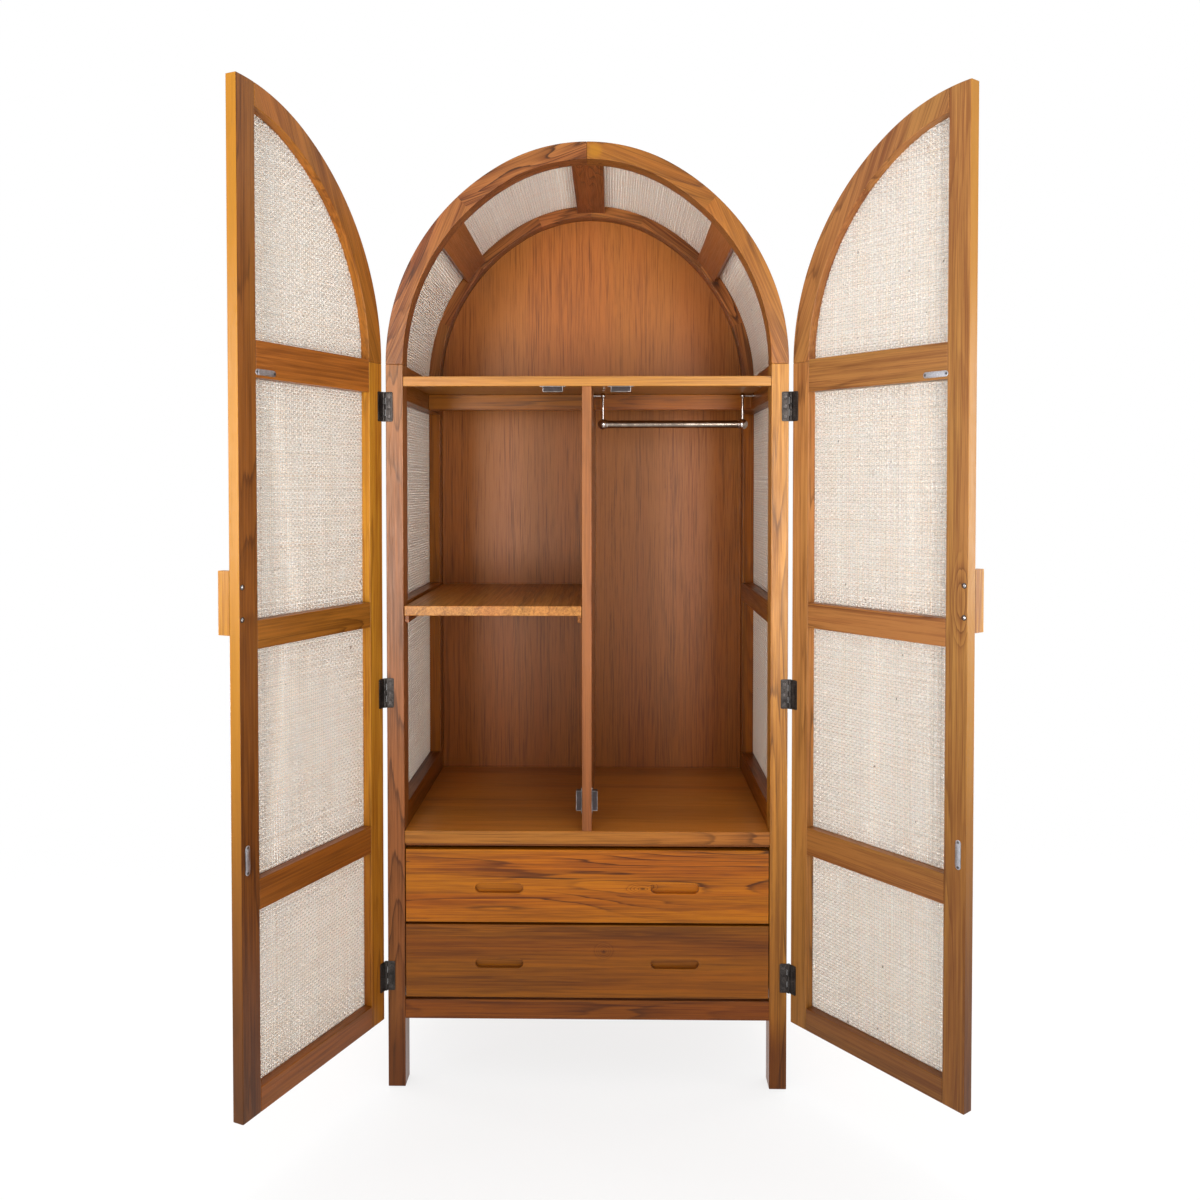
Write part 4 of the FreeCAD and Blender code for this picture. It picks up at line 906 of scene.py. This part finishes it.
# Doors: stiles, rails and a curved top rail round four cane panels. The free edge of each
# meeting stile has a painted sheen in a golden colour, darkened low down as painted shade.
STILE = 0.046
MEETING_STILE = 0.050
MEETING_GAP = 0.001
teak_brown = teak("teak_brown", "7A4919", "512B0A", Ring_Share=0.35, Streak_Share=0.3, Fresh_Low=0.62)
teak_russet = teak("teak_russet", "B27B42", "835328", Ring_Share=0.35, Streak_Share=0.3)
stile_low, stile_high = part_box("right_door_meeting_stile")
FLAME_HEIGHT = 1.14
FLAME = (0.35 * stile_low.x + 0.65 * stile_high.x, 0.65 * stile_low.y + 0.35 * stile_high.y, FLAME_HEIGHT)
teak_flamed = teak("teak_flamed", "A5733A", "7A4A22", "4A2414", Ring_Scale=11.0, Ring_Count=16.0,
                   Ring_Share=0.45, Line_Share=0.6, Streak_Share=0.4, Knot=FLAME,
                   Knot_Reach=(0.013, 0.013, 0.04), Fresh_Low=0.45)
DOOR_WOODS = {"left": ("985B20", "693A0F"), "right": ("986635", "6F411F")}
STILE_WOODS = {
    "left_door_hinge_stile": teak_golden, "left_door_meeting_stile": teak_brown,
    "right_door_hinge_stile": teak_russet, "right_door_meeting_stile": teak_flamed,
}


def arch_height(x, inset):
    """How high the arch is above a distance from the middle, set in from its outside."""
    shoulder_end = -OVERHANG + (SHOULDER - inset) * math.cos(SPLIT)
    if abs(x) < shoulder_end:
        return CROWN_CENTRE + math.sqrt((CROWN - inset) ** 2 - x * x)
    return SPRING + math.sqrt(max(0.0, (SHOULDER - inset) ** 2 - (abs(x) + OVERHANG) ** 2))


def meeting_stile(side, low_y, high_y, bottom):
    """The stile where the doors meet, its top cut to the arch."""
    steps = np.linspace(MEETING_GAP, MEETING_STILE, 9)
    outline = [(MEETING_GAP, bottom), (MEETING_STILE, bottom)]
    outline += [(x, arch_height(x, 0)) for x in steps[::-1]]
    verts = [(side * x, y, z) for y in (low_y, high_y) for x, z in outline]
    count = len(outline)
    faces = [list(range(count)), list(range(2 * count - 1, count - 1, -1))]
    faces += [[i, i + count, (i + 1) % count + count, (i + 1) % count] for i in range(count)]
    return verts, faces if side > 0 else [face[::-1] for face in faces]


def free_edge(middles):
    """Picks the faces of a stile's free edge."""
    return np.abs(middles[:, 0]) < MEETING_GAP + 0.0004


DOOR_LOOSE = {
    "left": ((), ((0.62, 0.80, 1.0),), ((0.80, 0.72, 1.0),), ((0.88, 0.85, 0.4),)),
    "right": ((), ((0.3, 0.25, 0.5),), ((0.55, 0.5, 0.6),), ()),
}
for side_name, side in SIDES.items():
    door = side_name + "_door"
    turn = shutting(door)
    opening = turn.inverted()
    low, high = Vector((9, 9, 9)), Vector((-9, -9, -9))
    for vertex in frame["nodes"][door + "_hinge_stile"].data.vertices:
        spot = turn @ vertex.co
        low, high = Vector(map(min, low, spot)), Vector(map(max, high, spot))
    seed = 81 if side < 0 else 91
    wood = teak("teak_door_" + side_name, *DOOR_WOODS[side_name], Ring_Share=0.35, Streak_Share=0.3)
    stiles = {
        "_hinge_stile": box_board(low, high),
        "_meeting_stile": meeting_stile(side, low.y, high.y, low.z),
    }
    for number, (part, (verts, faces)) in enumerate(stiles.items()):
        placed = [opening @ Vector(vert) for vert in verts]
        piece = eased(door + part + "_wood", placed, faces)
        # Painted sheen on the meeting stile's free edge, darkened low down as painted shade.
        lay_grain(piece.data, seed + number, turn, fresh=free_edge)
        dressed(piece, STILE_WOODS[door + part], "teak_frame", door, door + part)
    wooden(door + "_curved_rail", wood, seed + 2, plank=front_planks)
    wooden(door + "_rails", wood, seed + 3)
    wooden(door + "_handle", teak_golden, seed + 4)

    def door_place(points, sheet_y, opening=opening):
        """From a sheet's own layout to the door as it stands open."""
        flat = np.stack([points[:, 0], sheet_y + points[:, 2], points[:, 1]], 1)
        matrix = np.array(opening)
        return flat @ matrix[:3, :3].T + matrix[:3, 3]

    sheets = panels_of(door + "_cane")
    for number, (low, high) in enumerate(sorted(sheets, key=lambda box: -box[1][2])):
        sheet = (low[1] + high[1]) / 2
        inside = None
        if high[2] > SPRING + STILE:
            inside = lambda a, b: b < arch_height(a, STILE - GROOVE)
        woven("%s_weave_%d" % (door, number), (low[0], high[0]), (low[2], high[2]),
              lambda p, y=sheet: door_place(p, y), door, door + "_cane", seed * 7 + number, inside,
              DOOR_LOOSE[side_name][number])

# Metal: dark hinges, zinc plates and screws, polished tube. The surface effect that all of it
# shares is a faint mottle in colour and gloss, from rolling, plating and handling.
metal_wear = bpy.data.node_groups.new("metal_wear", "ShaderNodeTree")
METAL_INPUTS = (
    ("Grain Scale", "NodeSocketFloat", 400.0),
    ("Gloss Low", "NodeSocketFloat", 0.3),
    ("Gloss High", "NodeSocketFloat", 0.5),
    ("Tone", "NodeSocketColor"),
    ("Worn Tone", "NodeSocketColor"),
)
add_sockets(metal_wear, METAL_INPUTS, SURFACE_OUTPUTS)
tree = metal_wear
given = add_node(tree, "NodeGroupInput").outputs
place = add_node(tree, "ShaderNodeTexCoord").outputs["Object"]
specks, smears = [add_node(tree, "ShaderNodeTexNoise", Vector=place, Scale=scale, Detail=detail).outputs[0]
                  for scale, detail in ((given["Grain Scale"], 4.0), (45.0, 3.0))]
colour = mixed_colours(banded(times(specks, smears), 0.15, 0.42), given["Tone"], given["Worn Tone"])
gloss = ramped(tree, smears, 0.3, 0.7, given["Gloss Low"], given["Gloss High"], "LINEAR")
add_node(tree, "NodeGroupOutput", Color=colour, Roughness=gloss, Height=specks)


def metal(name, tone, worn, gloss_low, gloss_high, metallic=1.0, grain_scale=400.0, specular=0.5, bumps=0.15):
    """A metal finish: its colour where it is fresh and where it is worn, and its range of gloss."""
    material, nodes = new_material(name)
    wear = add_node(nodes, "ShaderNodeGroup", {"node_tree": metal_wear}, Tone=linear(tone),
                    Worn_Tone=linear(worn), Grain_Scale=grain_scale, Gloss_Low=gloss_low,
                    Gloss_High=gloss_high)
    bump = add_node(nodes, "ShaderNodeBump", Strength=bumps, Distance=0.0001, Height=wear.outputs["Height"])
    shader = add_node(nodes, "ShaderNodeBsdfPrincipled", Base_Color=wear.outputs["Color"],
                      Roughness=wear.outputs["Roughness"], Normal=bump.outputs[0], Metallic=metallic,
                      Specular_IOR_Level=specular)
    add_node(nodes, "ShaderNodeOutputMaterial", Surface=shader.outputs[0])
    return material


gunmetal = metal("gunmetal", "2C2826", "49433F", 0.35, 0.55, metallic=0.85)
dark_zinc = metal("dark_zinc", "4C4846", "7C7673", 0.35, 0.5)
screw_steel = metal("screw_steel", "3A3634", "5C5653", 0.35, 0.5)
zinc = metal("zinc", "9FA0A6", "C2C2C8", 0.3, 0.5)
polished = metal("polished_steel", "84766A", "9A8C80", 0.18, 0.26, grain_scale=120.0, bumps=0.03)
bright_steel = metal("bright_steel", "B4AAA4", "D0C8C2", 0.15, 0.25, grain_scale=120.0, bumps=0.03)
dull_steel = metal("runner_steel", "8A8C90", "A6A8AC", 0.3, 0.45)
catch_steel = metal("catch_steel", "5E5856", "8E8886", 0.3, 0.45)
bolt_steel = metal("bolt_steel", "8E8A88", "B8B4B0", 0.16, 0.26, grain_scale=120.0)
magnet_dark = metal("magnet_dark", "2E2624", "40373A", 0.6, 0.8, metallic=0.0, specular=0.2)


def turned(profile, steps=32):
    """A solid of revolution about Z from (radius, height) pairs, first and last on the axis."""
    verts = [(0, 0, profile[0][1])]
    turns = [2 * math.pi * i / steps for i in range(steps)]
    for radius, height in profile[1:-1]:
        verts += [(radius * math.cos(turn), radius * math.sin(turn), height) for turn in turns]
    verts.append((0, 0, profile[-1][1]))
    faces = [(0, 1 + (i + 1) % steps, 1 + i) for i in range(steps)]
    for row in range(len(profile) - 3):
        start = 1 + row * steps
        faces += [(start + i, start + (i + 1) % steps, start + steps + (i + 1) % steps, start + steps + i)
                  for i in range(steps)]
    start = 1 + (len(profile) - 3) * steps
    faces += [(start + i, start + (i + 1) % steps, len(verts) - 1) for i in range(steps)]
    return verts, faces


def cut_plate(outline, holes, low, high):
    """A flat plate with holes, between two heights."""
    work = bmesh.new()
    edges = []
    for loop in (outline, *holes):
        corners = [work.verts.new((x, y, high)) for x, y in loop]
        edges += [work.edges.new((a, b)) for a, b in zip(corners, corners[1:] + corners[:1])]
    bmesh.ops.triangle_fill(work, edges=edges, use_beauty=True)
    second = bmesh.ops.extrude_face_region(work, geom=list(work.faces), use_keep_orig=True)["geom"]
    second = [part for part in second if isinstance(part, bmesh.types.BMVert)]
    bmesh.ops.translate(work, vec=(0, 0, low - high), verts=second)
    bmesh.ops.recalc_face_normals(work, faces=work.faces)
    verts = [tuple(v.co) for v in work.verts]
    index = {v: i for i, v in enumerate(work.verts)}
    faces = [[index[v] for v in face.verts] for face in work.faces]
    work.free()
    return verts, faces


def circle(x, y, radius, steps=20):
    """A round outline about a spot."""
    turns = [2 * math.pi * i / steps for i in range(steps)]
    return [(x + radius * math.cos(turn), y + radius * math.sin(turn)) for turn in turns]


def rounded(low, high, radius, steps=5):
    """A rectangle with rounded corners, as an outline."""
    left, right = low[0] + radius, high[0] - radius
    bottom, top = low[1] + radius, high[1] - radius
    spots = []
    for number, (x, y) in enumerate(((right, top), (left, top), (left, bottom), (right, bottom))):
        turns = [math.pi / 2 * (number + i / steps) for i in range(steps + 1)]
        spots += [(x + radius * math.cos(turn), y + radius * math.sin(turn)) for turn in turns]
    return spots


def joined(*parts):
    """Several lots of points and faces as one; each lot may bring a matrix."""
    verts, faces = [], []
    for part in parts:
        points, own, matrix = part if len(part) == 3 else (*part, Matrix.Identity(4))
        faces += [[i + len(verts) for i in face] for face in own]
        verts += [tuple(matrix @ Vector(p)) for p in points]
    return verts, faces


METAL_CORNER = 40
SHARP = math.radians(35)


def smoothed(mesh):
    """Shades a mesh smooth where it is round."""
    mesh.shade_smooth()
    mesh.set_sharp_from_angle(angle=SHARP)


def metal_piece(name, parts, material, slot, body, *nodes, edge=0.0):
    """A metal piece from lots of points and faces, smooth where it is round."""
    mesh = new_mesh(name, *joined(*parts))
    outward(mesh)
    piece = in_scene(name, mesh)
    if edge:
        bevelled(piece, edge, METAL_CORNER)
    smoothed(piece.data)
    return dressed(piece, material, slot, body, *nodes)


# Butt hinges: pressed leaves with rounded corners that wrap the pin in five knuckles,
# three on the post leaf and two on the door leaf, each leaf held by three screws.
HINGE_HEIGHT = 0.066
HINGE_HEIGHTS = (0.254, 0.896, SPRING - 0.095)
PIN_X, PIN_Y = 0.454, -0.287
LEAF_REACH = 0.020
LEAF_LOW, LEAF_TOP = 0.0002, 0.0020
BARREL = 0.0035
PIN_RADIUS = 0.0015
KNUCKLE_GAP = 0.0003
KNUCKLES = 5
LEAF_CORNER = 0.003
SCREW_PLAY = 0.0001
SCREW_OFFSET = 0.012
SCREW_STEP = 0.022
SCREW_HEAD = 0.0034
SCREW_SHANK = 0.0016
SCREW_LENGTH = 0.0155
CROSS_REACH, CROSS_WIDTH, CROSS_DEPTH = 0.62 * SCREW_HEAD, 0.17 * SCREW_HEAD, 0.0009
KNUCKLE_SOFT = 0.0004
LEAF_EASED = 0.00025


def hinge_leaf(own):
    """A leaf with its pin along Z through the middle, reaching towards +X, seen from -Y."""
    pitch = (HINGE_HEIGHT + KNUCKLE_GAP) / KNUCKLES
    inner = BARREL + KNUCKLE_GAP
    corner = rounded((inner, -HINGE_HEIGHT / 2), (LEAF_REACH, HINGE_HEIGHT / 2), LEAF_CORNER)
    count = len(corner) // 4
    outline = corner[:count] + [(inner, HINGE_HEIGHT / 2), (inner, -HINGE_HEIGHT / 2)] + corner[3 * count:]
    holes = [circle(SCREW_OFFSET, SCREW_STEP * step, SCREW_HEAD + SCREW_PLAY) for step in (-1, 0, 1)]
    plate = cut_plate(outline, holes, -LEAF_TOP, -LEAF_LOW)
    parts = [(*plate, Matrix.Rotation(math.pi / 2, 4, "X"))]
    for number in own:
        low = -HINGE_HEIGHT / 2 + pitch * number
        high = low + pitch - KNUCKLE_GAP
        soft = KNUCKLE_SOFT
        parts.append(turned([(0, low), (BARREL - soft, low), (BARREL, low + soft), (BARREL, high - soft),
                             (BARREL - soft, high), (0, high)], 24))
        parts.append(box_board((0, LEAF_LOW, low), (inner + 0.0006, LEAF_TOP, high)))
    return joined(*parts)


def cross_screw():
    """A countersunk screw with a cross recess, its head's top at the origin, shank down -Z."""
    arm, width, depth = CROSS_REACH, CROSS_WIDTH, CROSS_DEPTH
    quarter = [(arm, width), (width, width), (width, arm)]
    cross = []
    for cos, sin in ((1, 0), (0, 1), (-1, 0), (0, -1)):
        cross += [(x * cos - y * sin, x * sin + y * cos) for x, y in quarter]
    head = cut_plate(circle(0, 0, SCREW_HEAD), [cross], -depth, 0)
    under = turned([(0, -SCREW_LENGTH), (0.4 * SCREW_SHANK, 0.001 - SCREW_LENGTH),
                    (SCREW_SHANK, 0.004 - SCREW_LENGTH), (SCREW_SHANK, -2.2 * depth), (SCREW_HEAD, -depth),
                    (0, -depth)], 20)
    return joined(head, under)


screw_tree = bpy.data.node_groups.new("placed_fasteners", "GeometryNodeTree")
add_sockets(screw_tree, (("Geometry", "NodeSocketGeometry"), ("Fastener", "NodeSocketObject"),
                         ("Twist", "NodeSocketFloat"), ("Seed", "NodeSocketInt"),
                         ("Finish", "NodeSocketMaterial")), (("Geometry", "NodeSocketGeometry"),))
tree = screw_tree
given = add_node(tree, "NodeGroupInput").outputs
shape = add_node(tree, "GeometryNodeObjectInfo", Object=given["Fastener"])
way = add_node(tree, "GeometryNodeInputNamedAttribute", {"data_type": "FLOAT_VECTOR"}, Name="way")
aimed = add_node(tree, "FunctionNodeAlignRotationToVector", {"axis": "Z"}, Vector=way.outputs[0])
chance = add_node(tree, "FunctionNodeRandomValue", {"data_type": "FLOAT"}, Seed=given["Seed"],
                  i2=maths(tree, "MULTIPLY", given["Twist"], -1.0), i3=given["Twist"])
spin = add_node(tree, "FunctionNodeAxisAngleToRotation", Axis=(0, 0, 1), Angle=chance.outputs[1])
turned_on = add_node(tree, "FunctionNodeRotateRotation", {"rotation_space": "LOCAL"},
                     Rotation=aimed.outputs[0], Rotate_By=spin.outputs[0])
placed = add_node(tree, "GeometryNodeInstanceOnPoints", Points=given["Geometry"],
                  Instance=shape.outputs["Geometry"], Rotation=turned_on.outputs[0])
whole = add_node(tree, "GeometryNodeRealizeInstances", Geometry=placed.outputs[0])
coated = add_node(tree, "GeometryNodeSetMaterial", Geometry=whole.outputs[0], Material=given["Finish"])
add_node(tree, "NodeGroupOutput", Geometry=coated.outputs[0])


def fasteners(name, shape, spots, material, slot, body, *nodes, seed=1):
    """One piece of many equal fasteners, at (place, direction) pairs, each with its own twist."""
    pattern = new_mesh(name + "_pattern", *shape)
    smoothed(pattern)
    model = in_scene(name + "_pattern", pattern)
    mesh = new_mesh(name, [tuple(place) for place, way in spots])
    add_attribute(mesh, "way", "FLOAT_VECTOR", "POINT", [tuple(way) for place, way in spots])
    values = {"Fastener": model, "Twist": math.pi, "Seed": seed, "Finish": material}
    piece = grown(in_scene(name, mesh), screw_tree, values)
    bpy.data.objects.remove(model)
    return dressed(piece, material, slot, body, *nodes)


MIRRORED = {-1: Matrix.Identity(4), 1: Matrix.Rotation(math.pi, 4, "Y")}
HALF_TURN = Matrix.Rotation(math.pi, 4, "X")
post_leaf, door_leaf = hinge_leaf(range(0, KNUCKLES, 2)), hinge_leaf(range(1, KNUCKLES, 2))
half_pin = HINGE_HEIGHT / 2
hinge_pin = turned([(0, -half_pin - KNUCKLE_SOFT), (PIN_RADIUS, -half_pin), (PIN_RADIUS, half_pin),
                    (0, half_pin + KNUCKLE_SOFT)], 16)
screw = cross_screw()


def at_pins(side):
    """Where the three hinges of a side stand, from their own middle to the wardrobe."""
    return [Matrix.Translation((side * PIN_X, PIN_Y, z)) @ MIRRORED[side] for z in HINGE_HEIGHTS]


def leaf_screws(places):
    """Three screws in each leaf: where each head's top lies and the way it faces."""
    return [(place @ Vector((SCREW_OFFSET, LEAF_LOW, SCREW_STEP * step)), place.to_3x3() @ Vector((0, -1, 0)))
            for place in places for step in (-1, 0, 1)]


post_places = [place for side in SIDES.values() for place in at_pins(side)]
metal_piece("post_leaves", [(*post_leaf, place) for place in post_places], gunmetal, "hinge_metal", "carcass",
            "post_hinge_leaves", edge=LEAF_EASED)
metal_piece("pins", [(*hinge_pin, place) for place in post_places], gunmetal, "hinge_metal", "carcass",
            "hinge_pins")
fasteners("post_screws", screw, leaf_screws(post_places), screw_steel, "zinc_steel", "carcass",
          "post_leaf_screws")
for side_name, side in SIDES.items():
    door = side_name + "_door"
    opening = shutting(door).inverted()
    places = [opening @ place @ HALF_TURN for place in at_pins(side)]
    metal_piece(door + "_leaves", [(*door_leaf, place) for place in places], gunmetal, "hinge_metal", door,
                door + "_hinge_leaves", edge=LEAF_EASED)
    fasteners(door + "_screws", screw, leaf_screws(places), screw_steel, "zinc_steel", door,
              door + "_leaf_screws", seed=2 + side)

# The handle of each door is a block bolted through the meeting stile; the domed bolt heads
# show inside. Two plates beside them meet the catches: rounded, raised in the middle.
BOLT_X, BOLT_HEIGHTS = 0.0085, (1.1105, 1.1715)
BOLT_HEAD, BOLT_RISE, BOLT_SHANK, BOLT_DEPTH = 0.0055, 0.0026, 0.0025, 0.014
DOOR_INNER = -0.289
PLATE_LENGTH, PLATE_WIDTH, PLATE_BASE, PLATE_RISE = 0.057, 0.012, 0.0008, 0.0015
PLATE_LAND, PLATE_SCREW, PLATE_SCREW_HEAD = 0.040, 0.0243, 0.0026
PLATE_CORNER, PLATE_END, PLATE_EASED = 0.001, 0.49 * PLATE_WIDTH, 0.0003
PAN_LENGTH, PAN_SHANK = 0.004, 0.0012
LIP_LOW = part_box("top_shelf")[0].z
CATCH_LENGTH, CATCH_HEIGHT, CATCH_WALL = 0.045, 0.013, 0.0014
CATCH_FRONT, CATCH_BACK = -0.287, -0.269
TOP_CATCH, LOW_CATCH = 0.076, 0.654
DIVIDER_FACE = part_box("divider")[1].x
bolt = turned([(0, -BOLT_DEPTH), (BOLT_SHANK, -BOLT_DEPTH), (BOLT_SHANK, 0.0003), (BOLT_HEAD * 0.72, 0.0003),
               (BOLT_HEAD * 0.74, 0.0010), (BOLT_HEAD * 0.66, 0.0016), (BOLT_HEAD * 0.5, 0.0022),
               (BOLT_HEAD * 0.26, 0.0025), (0, BOLT_RISE)], 28)
# A dark gunmetal ring under each dome is painted shade where the bolt head meets the door.
bolt_shade_ring = turned([(0, 0), (BOLT_HEAD - 0.0003, 0), (BOLT_HEAD, 0.0003), (BOLT_HEAD - 0.0004, 0.0009),
                   (BOLT_HEAD * 0.7, 0.0010), (0, 0.0010)], 28)
pan_screw = turned([(0, -PAN_LENGTH), (PAN_SHANK, -PAN_LENGTH), (PAN_SHANK, 0), (PLATE_SCREW_HEAD, 0),
                    (PLATE_SCREW_HEAD * 0.96, 0.0003), (PLATE_SCREW_HEAD * 0.6, 0.0006), (0, 0.0007)], 20)
land = rounded((-PLATE_LAND / 2, -PLATE_WIDTH / 2), (PLATE_LAND / 2, PLATE_WIDTH / 2), PLATE_CORNER)
base = rounded((-PLATE_LENGTH / 2, -PLATE_WIDTH / 2), (PLATE_LENGTH / 2, PLATE_WIDTH / 2), PLATE_END)
plate = joined(cut_plate(base, [], 0, PLATE_BASE), cut_plate(land, [], 0, PLATE_RISE))


def along_lip(side, level):
    """From along a catch, off its base and its depth to the wardrobe, under the lip."""
    return Matrix(((1, 0, 0, side * TOP_CATCH), (0, 0, 1, 0), (0, -1, 0, level), (0, 0, 0, 1)))


def up_divider(side, start):
    """The same for a catch that stands on a side of the divider."""
    return Matrix(((0, side, 0, side * start), (0, 0, 1, 0), (1, 0, 0, LOW_CATCH), (0, 0, 0, 1)))


for side_name, side in SIDES.items():
    door = side_name + "_door"
    opening = shutting(door).inverted()
    inwards = opening.to_3x3() @ Vector((0, 1, 0))
    spots = [(opening @ Vector((side * BOLT_X, DOOR_INNER, z)), inwards) for z in BOLT_HEIGHTS]
    fasteners(door + "_bolts", bolt, spots, bolt_steel, "zinc_steel", door, door + "_handle_bolts")
    # The dark rings: painted shade round each bolt head.
    fasteners(door + "_bolt_rims", bolt_shade_ring, spots, gunmetal, "zinc_steel", door, door + "_handle_bolts")
    sheet = Matrix.Translation((0, 0, DOOR_INNER))
    middles = (along_lip(side, LIP_LOW - CATCH_HEIGHT / 2), up_divider(side, DIVIDER_FACE + CATCH_HEIGHT / 2))
    metal_piece(door + "_plates", [(*plate, opening @ middle @ sheet) for middle in middles], zinc,
                "zinc_steel", door, door + "_strike_plates", edge=PLATE_EASED)
    spots = [(opening @ middle @ Vector((end * PLATE_SCREW, 0, DOOR_INNER + PLATE_BASE)), inwards)
             for middle in middles for end in (-1, 1)]
    fasteners(door + "_plate_screws", pan_screw, spots, dark_zinc, "zinc_steel", door,
              door + "_strike_plates")

# Four magnetic catches: a folded steel shell with an ear at each end, round a black
# magnet. Two hang under the lip of the top shelf, two stand on the sides of the divider.
CATCH_CORNER, INNER_CORNER = 0.0012, 0.0006
BACK_INSET = 0.0005
THIN_GAP = 0.0001
MAGNET_INSET, MAGNET_EASED = 0.0006, 0.0004
EAR_SCREW = 0.0031
half_length = CATCH_LENGTH / 2
shell_wall = cut_plate(rounded((-half_length, 0), (half_length, CATCH_HEIGHT), CATCH_CORNER),
                       [rounded((-half_length + CATCH_WALL, CATCH_WALL),
                                (half_length - CATCH_WALL, CATCH_HEIGHT - CATCH_WALL), INNER_CORNER)],
                       CATCH_FRONT, CATCH_BACK)
shell_back = box_board((-half_length + BACK_INSET, BACK_INSET, CATCH_BACK - CATCH_WALL),
                       (half_length - BACK_INSET, CATCH_HEIGHT - BACK_INSET, CATCH_BACK - THIN_GAP))
ears = box_board((-PLATE_LENGTH / 2, 0, FRONT), (PLATE_LENGTH / 2, CATCH_WALL - THIN_GAP, CATCH_BACK))
magnet = box_board((-half_length + CATCH_WALL, CATCH_WALL, CATCH_FRONT + MAGNET_INSET),
                   (half_length - CATCH_WALL, CATCH_HEIGHT - CATCH_WALL, CATCH_BACK - CATCH_WALL))
catch_places = [make(side, start) for side in SIDES.values()
                for make, start in ((along_lip, LIP_LOW), (up_divider, DIVIDER_FACE))]
shells = [(*part, place) for place in catch_places for part in (shell_wall, shell_back, ears)]
metal_piece("catch_shells", shells, catch_steel, "zinc_steel", "carcass", "magnetic_catches",
            edge=PLATE_EASED)
metal_piece("catch_magnets", [(*magnet, place) for place in catch_places], magnet_dark, "zinc_steel",
            "carcass", "magnetic_catches", edge=MAGNET_EASED)
ear_screw = half_length + EAR_SCREW
spots = [(place @ Vector((end * ear_screw, CATCH_WALL - THIN_GAP, (FRONT + CATCH_BACK) / 2)),
          place.to_3x3() @ Vector((0, 1, 0))) for place in catch_places for end in (-1, 1)]
fasteners("catch_screws", pan_screw, spots, dark_zinc, "zinc_steel", "carcass", "magnetic_catches")

# Hanging rail of polished tube in two ball ends. Each ball hangs on a rod from a small
# ball and a short arm with a round flange.
RAIL_RADIUS, ROD_RADIUS, HEAD_BALL, FINIAL = 0.0095, 0.0032, 0.0065, 0.013
FLANGE_THICK, FLANGE_RADIUS, FLANGE_EASED = 0.0025, 0.0065, 0.0006
COLLAR_RADIUS, COLLAR_LENGTH, COLLAR_PLACE = 0.0112, 0.003, 0.0085
tube_low, tube_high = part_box("rail_tube")
RAIL_Y, RAIL_Z = (tube_low.y + tube_high.y) / 2, (tube_low.z + tube_high.z) / 2
ARM_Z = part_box("rail_hangers")[1].z - HEAD_BALL


def facing(direction, place):
    """The matrix that puts a piece made along +Z at a place, pointing in a direction."""
    return Matrix.Translation(place) @ Vector(direction).to_track_quat("Z", "Y").to_matrix().to_4x4()


def ball(radius, steps, rings=18):
    """A ball about the origin."""
    turns = [math.pi * i / rings for i in range(1, rings)]
    sides = [(radius * math.sin(turn), -radius * math.cos(turn)) for turn in turns]
    return turned([(0, -radius), *sides, (0, radius)], steps)


def rod(radius, length, soft=0.0003):
    """A round bar from the origin along +Z, its ends eased."""
    return turned([(0, 0), (radius - soft, 0), (radius, soft), (radius, length - soft),
                   (radius - soft, length), (0, length)], 36)


tube = rod(RAIL_RADIUS, tube_high.x - tube_low.x)
metal_piece("rail_bar", [(*tube, facing((1, 0, 0), (tube_low.x, RAIL_Y, RAIL_Z)))], polished,
            "polished_steel", "carcass", "rail_tube")
hanger_parts = []
ends = ((DIVIDER_FACE, tube_low.x - THIN_GAP, 1), (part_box("rail_hangers")[1].x, tube_high.x + THIN_GAP, -1))
for wall, stand, way in ends:
    hanger_parts += [
        (*ball(FINIAL, 40), Matrix.Translation((stand, RAIL_Y, RAIL_Z))),
        (*rod(COLLAR_RADIUS, COLLAR_LENGTH, 0.0004),
         facing((way, 0, 0), (stand + way * COLLAR_PLACE, RAIL_Y, RAIL_Z))),
        (*rod(ROD_RADIUS, ARM_Z - RAIL_Z), Matrix.Translation((stand, RAIL_Y, RAIL_Z))),
        (*ball(HEAD_BALL, 32), Matrix.Translation((stand, RAIL_Y, ARM_Z))),
        (*rod(ROD_RADIUS, abs(stand - wall)), facing((way, 0, 0), (wall, RAIL_Y, ARM_Z))),
        (*rod(FLANGE_RADIUS, FLANGE_THICK, FLANGE_EASED), facing((way, 0, 0), (wall, RAIL_Y, ARM_Z))),
    ]
metal_piece("rail_ends", hanger_parts, bright_steel, "polished_steel", "carcass", "rail_hangers")

# Telescoping drawer runners: three nested channels of folded steel on each side of a drawer,
# one fixed to the carcass, one to the drawer and one that slides between them.
RUNNERS = {
    "cabinet_runners": "carcass",
    "upper_drawer_runners": "upper_drawer", "upper_runner_middles": "upper_runners",
    "lower_drawer_runners": "lower_drawer", "lower_runner_middles": "lower_runners",
}
for node, body in RUNNERS.items():
    piece = eased(node + "_steel", *boards_of(node), edge=PLATE_EASED)
    dressed(piece, dull_steel, "runner_steel", body, node)
